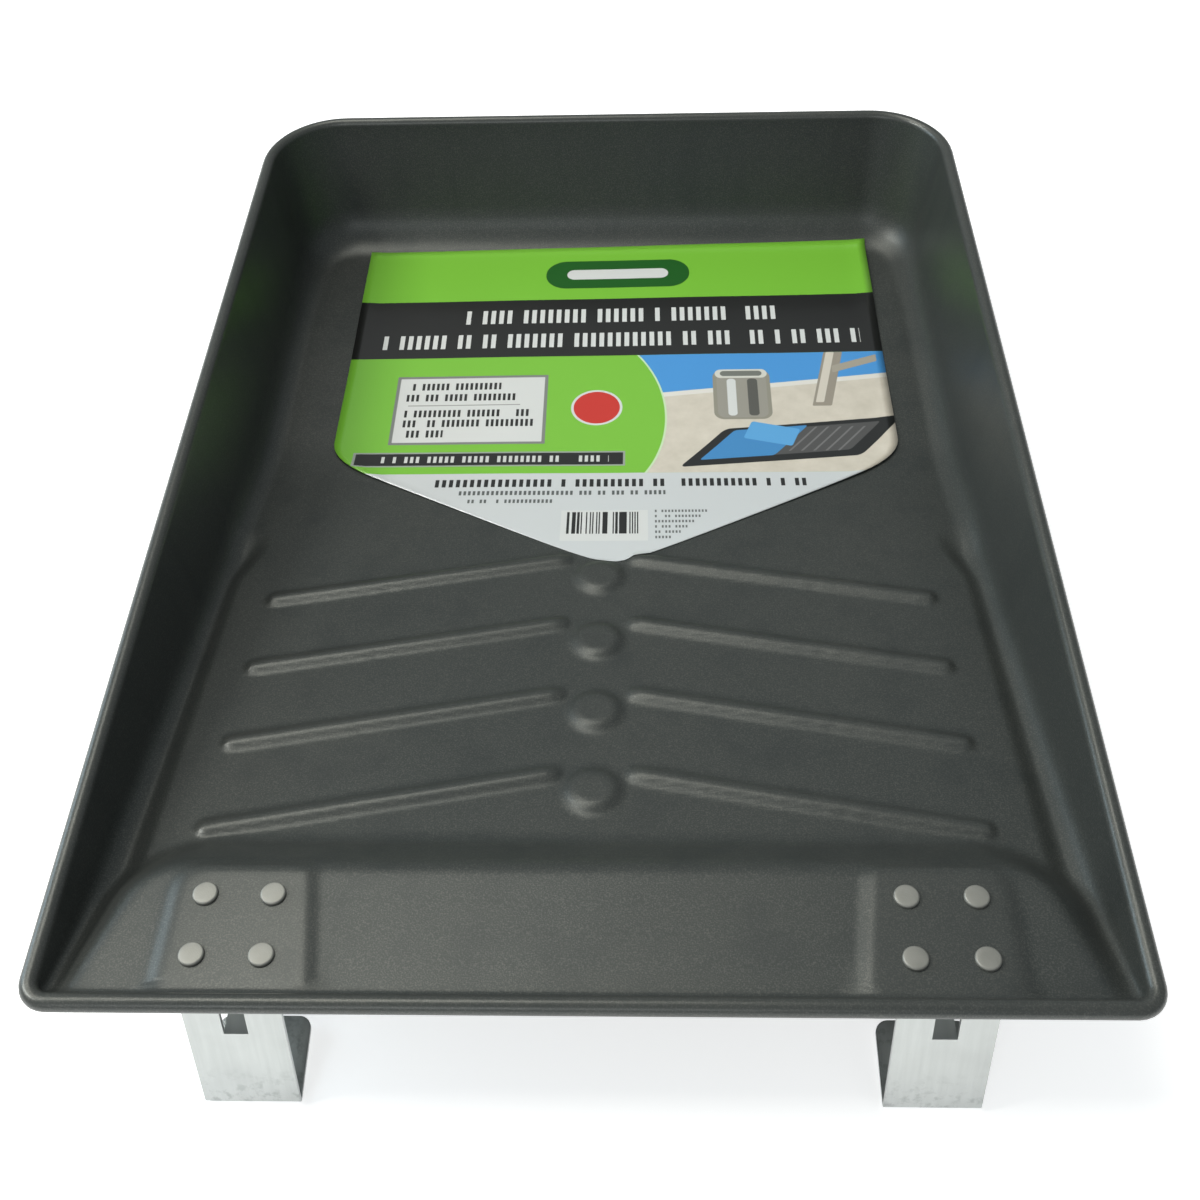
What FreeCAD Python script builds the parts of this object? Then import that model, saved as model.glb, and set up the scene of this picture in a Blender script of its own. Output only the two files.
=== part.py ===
import FreeCAD, Part
import Sketcher
import math
import os

# Paint roller tray, pressed steel: a deep well at the back, a ramp rising to a flat shelf at the front,
# and two strip-steel legs riveted under the shelf. Millimetres, +Z up, +Y from the front to the back.
# The origin is on the standing surface, below the middle of the tray's outline.

Vector = FreeCAD.Vector
Rotation = FreeCAD.Rotation
Placement = FreeCAD.Placement

doc = FreeCAD.newDocument("paint_roller_tray")
sheet = doc.addObject("Spreadsheet::Sheet", "Sizes")

SIZES = [
    # the outline over the rolled rim
    ("rim_width", 280), ("rim_length", 392), ("rim_height", 52),
    ("rim_front_radius", 8), ("rim_back_radius", 31),
    ("bead_radius", 2.4), ("bead_gap_angle", 50), ("sheet_gauge", 0.6),
    # the pressed walls, as angles from upright, and the fillets inside the tray
    ("side_draft", 6.5), ("back_draft", 14), ("front_draft", 20),
    ("wall_fillet", 7), ("back_corner_taper", 6),
    # the ramp, as its height at the front edge of the outline and its fall towards the back
    ("ramp_start_height", 42.9), ("ramp_fall", 0.18),
    ("gutter_depth", 1.5), ("gutter_back", 187), ("panel_half_width", 126.5),
    # the shelf on top of the ramp's front end
    ("shelf_start_height", 48.4), ("shelf_fall", 0.05), ("shelf_back", 43),
    ("shelf_half_width", 117), ("shelf_spread", 0.35), ("shelf_corner_radius", 9),
    ("mount_pad_width", 37), ("mount_pad_rise", 0.9), ("mount_pad_back", 41),
    # the raised pattern on the ramp
    ("rib_rows", 4), ("rib_pitch", 32.5), ("rib_first_outer_end", 61.5), ("rib_outer_x", 108.5),
    ("rib_inner_x", 12.5), ("rib_chevron", 0.213), ("rib_width", 6.4), ("rib_rise", 1.7),
    ("button_pitch", 31.5), ("first_button", 75.5), ("button_diameter", 17.5),
    ("button_top_diameter", 12.5), ("button_rise", 1.8),
    # the legs
    ("leg_spacing", 180), ("leg_width", 25.6), ("leg_gauge", 1.2), ("leg_bend_radius", 1.6),
    ("leg_fold_radius", 0.5), ("leg_lean", 16.2), ("leg_foot_front", -4), ("leg_flange_back", 38.5),
    ("foot_length", 23), ("foot_rise", 2.2), ("leg_corner_radius", 3.5), ("leg_clearance", 0.02),
    ("window_width", 6.4), ("window_bottom", 28), ("window_top", 39),
    ("tongue_reach", 9), ("tongue_rise", 4), ("tongue_tip_width", 4),
    # the rivets
    ("rivet_spacing_across", 17.7), ("rivet_front_row", 15.4), ("rivet_back_row", 32.6),
    ("rivet_head_diameter", 6.6), ("rivet_head_height", 1.1), ("rivet_head_round", 0.6),
    ("rivet_shank_diameter", 3.2), ("rivet_hole_diameter", 3.3),
    ("rivet_tail_diameter", 5), ("rivet_tail_height", 1.2),
    # the paper label lying in the well
    ("label_thickness", 0.2), ("label_half_width", 107), ("label_middle", 4), ("label_back", 368),
    ("label_shoulder", 239.5), ("label_shoulder_radius", 14), ("label_tip", 175.5), ("label_tip_radius", 27),
]
for row, (name, value) in enumerate(SIZES, start=1):
    sheet.set(f"A{row}", name)
    sheet.set(f"B{row}", str(value))
    sheet.setAlias(f"B{row}", name)
doc.recompute()


def size(name):
    return float(getattr(sheet, name))


def feature(kind, name, **bound):
    """A document object whose named properties follow expressions on the sheet."""
    made = doc.addObject(kind, name)
    for prop, expression in bound.items():
        made.setExpression(prop.replace("__", "."), expression)
    return made


# -------------------------------------------------------- sketches with sizes bound to the sheet
def place_points(sketch, anchors):
    """Ties points, given as (geometry, point, x expression, y expression), to the sketch's origin."""
    for geometry, point, across, along in anchors:
        for kind, expression in (("DistanceX", across), ("DistanceY", along)):
            length = float(sketch.evalExpression(expression))
            index = sketch.addConstraint(Sketcher.Constraint(kind, -1, 1, geometry, point, length))
            sketch.setExpression(f"Constraints[{index}]", expression)


def draw_polygon(sketch, corners):
    """A closed outline through corners given as pairs of expressions."""
    points = [
        Vector(float(sketch.evalExpression(across)), float(sketch.evalExpression(along)), 0)
        for across, along in corners
    ]
    count = len(points)
    for i in range(count):
        sketch.addGeometry(Part.LineSegment(points[i], points[(i + 1) % count]), False)
    for i in range(count):
        sketch.addConstraint(Sketcher.Constraint("Coincident", i, 2, (i + 1) % count, 1))
    place_points(sketch, [(i, 1, across, along) for i, (across, along) in enumerate(corners)])


def draw_rounded_outline(sketch, half_width, front, back, front_radius, back_radius):
    """A rectangle symmetrical about Y with tangent arcs at its corners; every argument is an expression."""
    w = float(sketch.evalExpression(half_width))
    y0 = float(sketch.evalExpression(front))
    y1 = float(sketch.evalExpression(back))
    rf = float(sketch.evalExpression(front_radius))
    rb = float(sketch.evalExpression(back_radius))
    quarter = math.pi / 2
    corners = [
        (w - rf, y0 + rf, rf, 3 * quarter), (w - rb, y1 - rb, rb, 0.0),
        (-w + rb, y1 - rb, rb, quarter), (-w + rf, y0 + rf, rf, 2 * quarter),
    ]
    arcs = []
    for x, y, radius, start in corners:
        circle = Part.Circle(Vector(x, y, 0), Vector(0, 0, 1), radius)
        arcs.append(sketch.addGeometry(Part.ArcOfCircle(circle, start, start + quarter), False))
    sides = []
    for i in range(4):
        x, y, radius, start = corners[i]
        end = start + quarter
        a = Vector(x + radius * math.cos(end), y + radius * math.sin(end), 0)
        x, y, radius, start = corners[(i + 1) % 4]
        b = Vector(x + radius * math.cos(start), y + radius * math.sin(start), 0)
        sides.append(sketch.addGeometry(Part.LineSegment(a, b), False))
    for i in range(4):
        sketch.addConstraint(Sketcher.Constraint("Tangent", arcs[i], 2, sides[i], 1))
        sketch.addConstraint(Sketcher.Constraint("Tangent", sides[i], 2, arcs[(i + 1) % 4], 1))
    for i, direction in enumerate(("Vertical", "Horizontal", "Vertical", "Horizontal")):
        sketch.addConstraint(Sketcher.Constraint(direction, sides[i]))
    for arc, expression in ((arcs[0], front_radius), (arcs[1], back_radius),
                            (arcs[2], back_radius), (arcs[3], front_radius)):
        radius = float(sketch.evalExpression(expression))
        index = sketch.addConstraint(Sketcher.Constraint("Radius", arc, radius))
        sketch.setExpression(f"Constraints[{index}]", expression)
    for kind, side, value, expression in (
        ("DistanceX", sides[0], w, half_width), ("DistanceX", sides[2], -w, f"-({half_width})"),
        ("DistanceY", sides[1], y1, back), ("DistanceY", sides[3], y0, front),
    ):
        index = sketch.addConstraint(Sketcher.Constraint(kind, -1, 1, side, 1, value))
        sketch.setExpression(f"Constraints[{index}]", expression)


def flat_sketch(name, height):
    """A sketch on a level plane; height is an expression."""
    sketch = doc.addObject("Sketcher::SketchObject", name)
    sketch.setExpression("Placement.Base.z", height)
    return sketch


def side_sketch(name):
    """A sketch on the YZ plane, its own x along Y and its own y along Z."""
    sketch = doc.addObject("Sketcher::SketchObject", name)
    sketch.Placement = Placement(Vector(0, 0, 0), Rotation(Vector(1, 1, 1), 120))
    return sketch


def prism(name, sketch, direction, forward, backward):
    """A sketch extruded both ways along a direction; the two lengths are expressions."""
    solid = feature("Part::Extrusion", name, LengthFwd=forward, LengthRev=backward)
    solid.Base = sketch
    solid.DirMode = "Custom"
    solid.Dir = direction
    solid.Solid = True
    return solid


def boolean(kind, name, base, tool):
    made = doc.addObject(kind, name)
    made.Base = base
    made.Tool = tool
    return made


# -------------------------------------------------------- the pan: one pressed sheet with a rolled rim
WALL_TOP = "Sizes.rim_height - Sizes.bead_radius"
UNDER = 12                        # how far below the standing surface the rough blocks reach,
AHEAD = 60                        # how far in front of the rim,
BEHIND = 20                       # how far behind it,
ABOVE = 80                        # how high,
BURIED = 6                        # and how far they are sunk in what they stand on
DEPTH = f"({WALL_TOP} + {UNDER})"


def tub_block(side, out):
    """The drafted block inside the walls; out moves every wall outwards."""
    top = flat_sketch(f"{side}_tub_top", WALL_TOP)
    draw_rounded_outline(
        top,
        f"Sizes.rim_width / 2 - 2 * Sizes.bead_radius + {out}",
        f"-{AHEAD}",
        f"Sizes.rim_length - 2 * Sizes.bead_radius + {out}",
        "Sizes.rim_front_radius",
        f"Sizes.rim_back_radius - 2 * Sizes.bead_radius + {out}",
    )
    low = flat_sketch(f"{side}_tub_low", f"-{UNDER} * 1 mm")
    draw_rounded_outline(
        low,
        f"Sizes.rim_width / 2 - 2 * Sizes.bead_radius + {out} - {DEPTH} * tan(Sizes.side_draft * 1 deg)",
        f"-{AHEAD}",
        f"Sizes.rim_length - 2 * Sizes.bead_radius + {out} - {DEPTH} * tan(Sizes.back_draft * 1 deg)",
        "Sizes.rim_front_radius",
        f"Sizes.rim_back_radius - 2 * Sizes.bead_radius + {out} - Sizes.back_corner_taper",
    )
    block = doc.addObject("Part::Loft", f"{side}_tub")
    block.Sections = [top, low]
    block.Solid = True
    block.Ruled = True
    return block


def common(name, *shapes):
    made = doc.addObject("Part::MultiCommon", name)
    made.Shapes = list(shapes)
    return made


def fused(name, *shapes):
    made = doc.addObject("Part::MultiFuse", name)
    made.Shapes = list(shapes)
    return made


def ramp_height(level, out, y):
    """The height of a surface parallel to the ramp at a distance y from the front; all expressions."""
    slant = "sqrt(1 + Sizes.ramp_fall ^ 2)"
    return f"({level} - {out} * {slant} - ({y}) * Sizes.ramp_fall)"


def floor_prism(name, out, deeper="0"):
    """All the space behind the front wall and above the ramp and the well floor."""
    sketch = side_sketch(f"{name}_line")
    floor = f"(Sizes.sheet_gauge - {out} - {deeper})"
    level = f"(Sizes.ramp_start_height - {deeper})"
    lean = "tan(Sizes.front_draft * 1 deg)"
    rim = f"(2 * Sizes.bead_radius - {out} / cos(Sizes.front_draft * 1 deg))"
    front_top = f"({rim} - ({ABOVE} - {WALL_TOP}) * {lean})"
    wall_height = f"({WALL_TOP} - {ramp_height(level, out, '0')})"
    front_foot = f"(({rim} + {wall_height} * {lean}) / (1 - Sizes.ramp_fall * {lean}))"
    fold = f"(({ramp_height(level, out, '0')} - {floor}) / Sizes.ramp_fall)"
    draw_polygon(sketch, [
        (front_top, f"{ABOVE}"),
        (front_foot, ramp_height(level, out, front_foot)),
        (fold, floor),
        (f"Sizes.rim_length + {BEHIND}", floor),
        (f"Sizes.rim_length + {BEHIND}", f"{ABOVE}"),
    ])
    return prism(name, sketch, Vector(1, 0, 0), "Sizes.rim_width", "Sizes.rim_width")


def wall_edges(shape):
    """The edges where the walls meet the ramp and the floor: all below the rim but the two level folds."""
    rim = size("rim_height") - size("bead_radius")
    chosen = []
    for number, edge in enumerate(shape.Edges, start=1):
        box = edge.BoundBox
        straight_across = box.XLength > size("rim_width") * 0.85      # the walls' own edges are shorter
        if box.ZMax < rim - 1 and not straight_across:
            chosen.append(number)
    return chosen


def tilted(name, fall, kind="Part::Box", **bound):
    """A primitive laid parallel to a surface that falls towards the back."""
    made = feature(kind, name, **bound)
    made.Placement = Placement(made.Placement.Base, Rotation(Vector(1, 0, 0), -math.degrees(math.atan(fall))))
    return made


def gutters(side, out, tub):
    """The two strips beside the ramp's panel, pressed deeper than the panel."""
    broad = "(Sizes.rim_width / 2 - Sizes.panel_half_width)"
    bottom = ramp_height("Sizes.ramp_start_height - Sizes.gutter_depth", out, f"-{AHEAD}")
    strips = []
    for hand, sign in (("left", -1), ("right", 1)):
        strip = tilted(
            f"{side}_{hand}_gutter", size("ramp_fall"),
            Length=broad, Width=f"Sizes.gutter_back + {AHEAD}", Height="8 * Sizes.gutter_depth",
        )
        near = f"(Sizes.panel_half_width - {out})"
        strip.setExpression("Placement.Base.x", near if sign > 0 else f"-{near} - {broad}")
        strip.setExpression("Placement.Base.y", f"-{AHEAD}")
        strip.setExpression("Placement.Base.z", bottom)
        strips.append(strip)
    return common(f"{side}_gutters", fused(f"{side}_gutter_strips", *strips), tub)


def shelf_block(side, out):
    """The shelf that stands on the front of the ramp: it widens towards the front and its flanks slope."""
    highest, lowest = 50, 20
    widening = "sqrt(1 + Sizes.shelf_spread ^ 2)"
    outlines = []
    for tag, level in (("top", highest), ("low", lowest)):
        outline = flat_sketch(f"{side}_shelf_{tag}", f"{level} * 1 mm")
        drop = f"(Sizes.shelf_start_height - Sizes.shelf_fall * Sizes.shelf_back - {level})"
        grown = f"({drop} - {out} * sqrt(2))"          # the flanks slope at 45 degrees
        back_half = f"(Sizes.shelf_half_width + {grown} * ({widening} - Sizes.shelf_spread))"
        front_half = (f"(Sizes.shelf_half_width + (Sizes.shelf_back + {AHEAD}) * Sizes.shelf_spread"
                      f" + {grown} * {widening})")
        draw_polygon(outline, [
            (front_half, f"-{AHEAD}"), (back_half, f"Sizes.shelf_back + {grown}"),
            (f"-{back_half}", f"Sizes.shelf_back + {grown}"), (f"-{front_half}", f"-{AHEAD}"),
        ])
        outlines.append(outline)
    rough = doc.addObject("Part::Loft", f"{side}_shelf_rough")
    rough.Sections = outlines
    rough.Solid = True
    rough.Ruled = True
    doc.recompute()
    block = doc.addObject("Part::Fillet", f"{side}_shelf_rounded")
    block.Base = rough
    radius = size("shelf_corner_radius") - float(sheet.evalExpression(out))
    block.Edges = [
        (number, radius, radius) for number, edge in enumerate(rough.Shape.Edges, start=1)
        if edge.BoundBox.ZLength > (highest - lowest) * 0.9 and edge.BoundBox.Center.y > 0
    ]
    under = side_sketch(f"{side}_shelf_line")
    level = f"Sizes.shelf_start_height - {out}"
    far = "(4 * Sizes.shelf_back)"
    draw_polygon(under, [
        (f"-{far}", f"{level} + {far} * Sizes.shelf_fall"),
        (far, f"{level} - {far} * Sizes.shelf_fall"),
        (far, f"-{UNDER}"),
        (f"-{far}", f"-{UNDER}"),
    ])
    below = prism(f"{side}_below_shelf", under, Vector(1, 0, 0), "Sizes.rim_width", "Sizes.rim_width")
    return common(f"{side}_shelf", block, below)


def mount_pads(side, out):
    """The two raised pads on the shelf that the legs are riveted under."""
    bottom = f"Sizes.shelf_start_height + {AHEAD} * Sizes.shelf_fall - {BURIED} - {out}"
    pads = []
    for hand, sign in (("left", -1), ("right", 1)):
        pad = tilted(
            f"{side}_{hand}_pad_box", size("shelf_fall"),
            Length=f"Sizes.mount_pad_width - 2 * {out}",
            Width=f"Sizes.mount_pad_back - {out} + {AHEAD}",
            Height=f"Sizes.mount_pad_rise + {BURIED}",
        )
        middle = f"({sign} * Sizes.leg_spacing / 2)"
        pad.setExpression("Placement.Base.x", f"{middle} - Sizes.mount_pad_width / 2 + {out}")
        pad.setExpression("Placement.Base.y", f"-{AHEAD}")
        pad.setExpression("Placement.Base.z", bottom)
        pads.append(pad)
    return pads


def ribs(side, out):
    """Four rows of two ribs in a chevron, each a round bar with ball ends sunk in the ramp."""
    width = size("rib_width")
    rise = size("rib_rise")
    radius = (width ** 2 / 4 + rise ** 2) / (2 * rise)
    tilt = math.atan(size("ramp_fall"))
    round_radius = "(Sizes.rib_width ^ 2 / 4 + Sizes.rib_rise ^ 2) / (2 * Sizes.rib_rise)"
    made = []
    for row in range(int(size("rib_rows"))):
        for hand, sign in (("left", -1), ("right", 1)):
            outer = sign * size("rib_outer_x")
            inner = sign * size("rib_inner_x")
            outer_y = size("rib_first_outer_end") + row * size("rib_pitch")
            inner_y = outer_y + (size("rib_outer_x") - size("rib_inner_x")) * size("rib_chevron")
            sink = Vector(0, math.sin(tilt), math.cos(tilt)) * (rise - radius)
            ends = [
                Vector(x, y, size("ramp_start_height") - size("ramp_fall") * y) + sink
                for x, y in ((outer, outer_y), (inner, inner_y))
            ]
            name = f"{side}_{hand}_rib_{row + 1}"
            bar = feature("Part::Cylinder", f"{name}_bar", Radius=f"{round_radius} - {out}")
            bar.Height = (ends[1] - ends[0]).Length
            bar.Placement = Placement(ends[0], Rotation(Vector(0, 0, 1), ends[1] - ends[0]))
            made.append(bar)
            for tag, end in (("outer", ends[0]), ("inner", ends[1])):
                ball = feature("Part::Sphere", f"{name}_{tag}_end", Radius=f"{round_radius} - {out}")
                ball.Placement = Placement(end, Rotation())
                made.append(ball)
    return made


def buttons(side, out):
    """Four round buttons with flat tops on the centre line of the ramp."""
    slope = "((Sizes.button_diameter - Sizes.button_top_diameter) / 2 / Sizes.button_rise)"
    sunk = "Sizes.button_pitch / 10"
    top_shrink = 0.6                  # of the gauge, because the button's side slopes
    made = []
    for row in range(int(size("rib_rows"))):
        y = f"(Sizes.first_button + {row} * Sizes.button_pitch)"
        cone = tilted(
            f"{side}_button_{row + 1}", size("ramp_fall"), kind="Part::Cone",
            Radius1=f"Sizes.button_diameter / 2 + {sunk} * {slope} - {out}",
            Radius2=f"Sizes.button_top_diameter / 2 - {out} * {top_shrink}",
            Height=f"Sizes.button_rise + {sunk} - {out}",
        )
        cone.setExpression("Placement.Base.y", f"{y} - {sunk} * Sizes.ramp_fall")
        cone.setExpression("Placement.Base.z", f"{ramp_height('Sizes.ramp_start_height', '0', y)} - {sunk}")
        made.append(cone)
    return made


def pressed_hollow(side, out):
    """The space inside one face of the sheet: out is 0 for the inner face and the gauge for the outer one."""
    tub = tub_block(side, out)
    floor = floor_prism(f"{side}_above_floor", out)
    plain = common(f"{side}_plain", tub, floor)
    doc.recompute()
    rounded = doc.addObject("Part::Fillet", f"{side}_rounded")
    rounded.Base = plain
    radius = size("wall_fillet") + float(sheet.evalExpression(out))
    rounded.Edges = [(number, radius, radius) for number in wall_edges(plain.Shape)]
    behind = floor_prism(f"{side}_behind_front", out, "2 * Sizes.gutter_depth")
    deep = common(f"{side}_gutter_space", gutters(side, out, tub), behind)
    space = fused(f"{side}_space", rounded, deep)
    pattern = (*mount_pads(side, out), *ribs(side, out), *buttons(side, out))
    raised = fused(f"{side}_raised", shelf_block(side, out), *pattern)
    return boolean("Part::Cut", f"{side}_hollow", space, raised)


def rolled_rim():
    """The rim curled outwards and under, with a gap left open below; it runs right round the tray."""
    path = flat_sketch("rim_path", WALL_TOP)
    draw_rounded_outline(
        path,
        "Sizes.rim_width / 2 - Sizes.bead_radius",
        "Sizes.bead_radius",
        "Sizes.rim_length - Sizes.bead_radius",
        "Sizes.rim_front_radius - Sizes.bead_radius",
        "Sizes.rim_back_radius - Sizes.bead_radius",
    )
    section = doc.addObject("Sketcher::SketchObject", "rim_section")
    section.Placement = Placement(Vector(0, 0, 0), Rotation(Vector(1, 1, 1), 120))
    section.setExpression("Placement.Base.y", "Sizes.bead_radius")
    section.setExpression("Placement.Base.z", WALL_TOP)
    outer = size("bead_radius")
    inner = outer - size("sheet_gauge")
    # the section lies on the front run, with the tray on its right: the curl starts square to the front wall
    start = -math.radians(size("front_draft"))
    end = 2 * math.pi - math.radians(size("front_draft") + size("bead_gap_angle"))
    arcs = []
    for radius in (outer, inner):
        circle = Part.Circle(Vector(0, 0, 0), Vector(0, 0, 1), radius)
        arcs.append(section.addGeometry(Part.ArcOfCircle(circle, start, end), False))
    ends = []
    for angle in (start, end):
        a = Vector(outer * math.cos(angle), outer * math.sin(angle), 0)
        b = Vector(inner * math.cos(angle), inner * math.sin(angle), 0)
        ends.append(section.addGeometry(Part.LineSegment(a, b), False))
    for line, point in ((ends[0], 1), (ends[1], 2)):
        section.addConstraint(Sketcher.Constraint("Coincident", line, 1, arcs[0], point))
        section.addConstraint(Sketcher.Constraint("Coincident", line, 2, arcs[1], point))
    for arc, radius, expression in (
        (arcs[0], outer, "Sizes.bead_radius"), (arcs[1], inner, "Sizes.bead_radius - Sizes.sheet_gauge"),
    ):
        section.addConstraint(Sketcher.Constraint("Coincident", arc, 3, -1, 1))
        index = section.addConstraint(Sketcher.Constraint("Radius", arc, radius))
        section.setExpression(f"Constraints[{index}]", expression)
    doc.recompute()
    rim = doc.addObject("Part::Sweep", "rolled_rim")
    rim.Sections = [section]
    rim.Spine = (path, [f"Edge{i + 1}" for i in range(len(path.Shape.Edges))])
    rim.Solid = True
    rim.Frenet = False
    return rim


RIVET_LEVEL = "Sizes.shelf_start_height + Sizes.mount_pad_rise"     # the pads' upper face, above y = 0
SHELF_TILT = "atan(Sizes.shelf_fall)"


def rivet_places():
    """Where the rivets stand on the pads: a name, and x and y as expressions."""
    places = []
    for hand, sign in (("left", -1), ("right", 1)):
        for row in ("front", "back"):
            for side, across in (("outer", sign), ("inner", -sign)):
                x = f"{sign} * Sizes.leg_spacing / 2 + {across} * Sizes.rivet_spacing_across / 2"
                places.append((f"{hand}_rivet_{row}_{side}", x, f"Sizes.rivet_{row}_row"))
    return places


def stand_on_pad(made, x, y):
    """Puts an object's origin on a pad's upper face and its Z square to it."""
    made.setExpression("Placement.Rotation.Axis.x", "-1")
    made.setExpression("Placement.Rotation.Axis.y", "0")
    made.setExpression("Placement.Rotation.Axis.z", "0")
    made.setExpression("Placement.Rotation.Angle", SHELF_TILT)
    made.setExpression("Placement.Base.x", x)
    made.setExpression("Placement.Base.y", y)
    made.setExpression("Placement.Base.z", f"{RIVET_LEVEL} - Sizes.shelf_fall * ({y})")


def tray_pan():
    """The pan: the pressed sheet, its rolled rim and the eight rivet holes."""
    inner = pressed_hollow("inner", "0")
    outer = pressed_hollow("outer", "Sizes.sheet_gauge")
    skin = boolean("Part::Cut", "pressed_skin", outer, inner)
    whole = fused("skin_and_rim", skin, rolled_rim())
    holes = []
    for name, x, y in rivet_places():
        drill = feature(
            "Part::Cylinder", f"{name}_drill", Radius="Sizes.rivet_hole_diameter / 2", Height=f"{BURIED}",
        )
        stand_on_pad(drill, x, y)
        drill.setExpression("Placement.Base.z", f"{RIVET_LEVEL} - Sizes.shelf_fall * ({y}) - {BURIED} / 2")
        holes.append(drill)
    pan = boolean("Part::Cut", "tray_pan", whole, fused("rivet_drills", *holes))
    return pan


# -------------------------------------------------------- bodies: the legs and the rivets
def new_body(name):
    return doc.addObject("PartDesign::Body", name)


def body_sketch(body, name, role):
    """A sketch attached to one of its own body's origin planes."""
    plane = next(item for item in body.Origin.OriginFeatures if item.Role == role)
    sketch = body.newObject("Sketcher::SketchObject", name)
    sketch.AttachmentSupport = (plane, "")
    sketch.MapMode = "FlatFace"
    doc.recompute()
    return sketch


def edges_where(shape, wanted):
    """The names of the edges whose middle point and direction satisfy a test."""
    names = []
    for number, edge in enumerate(shape.Edges, start=1):
        middle = edge.valueAt((edge.FirstParameter + edge.LastParameter) / 2)
        if wanted(middle, edge.tangentAt(edge.FirstParameter)):
            names.append(f"Edge{number}")
    return names


def round_edges(body, name, radius, wanted):
    """A fillet on the edges of the body's last feature that satisfy a test; radius is an expression."""
    base = body.Tip
    fillet = body.newObject("PartDesign::Fillet", name)
    fillet.Base = (base, edges_where(base.Shape, wanted))
    fillet.setExpression("Radius", radius)
    doc.recompute()
    return fillet


# The leg's profile: a strip that runs forwards under the pad, down the leaning front plate and back as a
# foot. A line of it is a tangent to a circle round the fold at the foot; `inside` is 0 for the outer face.
LEAN = "Sizes.leg_lean * 1 deg"
FOOT = "atan(Sizes.foot_rise / Sizes.foot_length)"
FOLD_RADIUS = "(Sizes.leg_fold_radius + Sizes.leg_gauge)"
FOLD_Y = f"(Sizes.leg_foot_front + {FOLD_RADIUS})"
PAD_UNDERSIDE = f"({RIVET_LEVEL} - Sizes.sheet_gauge * sqrt(1 + Sizes.shelf_fall ^ 2) - Sizes.leg_clearance)"


def fold_corner(inside):
    """Where the plate's line and the foot's line meet."""
    radius = f"({FOLD_RADIUS} - {inside})"
    share = f"{radius} / (1 - sin({LEAN} + {FOOT}))"
    y = f"{FOLD_Y} + (sin({FOOT}) - cos({LEAN})) * {share}"
    z = f"{FOLD_RADIUS} + (sin({LEAN}) - cos({FOOT})) * {share}"
    return y, z


def flange_height(inside, y):
    return f"{PAD_UNDERSIDE} - {inside} * sqrt(1 + Sizes.shelf_fall ^ 2) - Sizes.shelf_fall * ({y})"


def bend_corner(inside):
    """Where the plate's line and the flange's line meet."""
    radius = f"({FOLD_RADIUS} - {inside})"
    rise = f"({flange_height(inside, '0')} - {FOLD_RADIUS})"
    y = (f"(cos({LEAN}) * {FOLD_Y} + sin({LEAN}) * {rise} - {radius})"
         f" / (cos({LEAN}) + Sizes.shelf_fall * sin({LEAN}))")
    return y, flange_height(inside, y)


def foot_end(inside):
    radius = f"({FOLD_RADIUS} - {inside})"
    y = "Sizes.leg_foot_front + Sizes.foot_length"
    return y, f"{FOLD_RADIUS} + (sin({FOOT}) * ({y} - {FOLD_Y}) - {radius}) / cos({FOOT})"


def flange_end(inside):
    return "Sizes.leg_flange_back", flange_height(inside, "Sizes.leg_flange_back")


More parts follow.
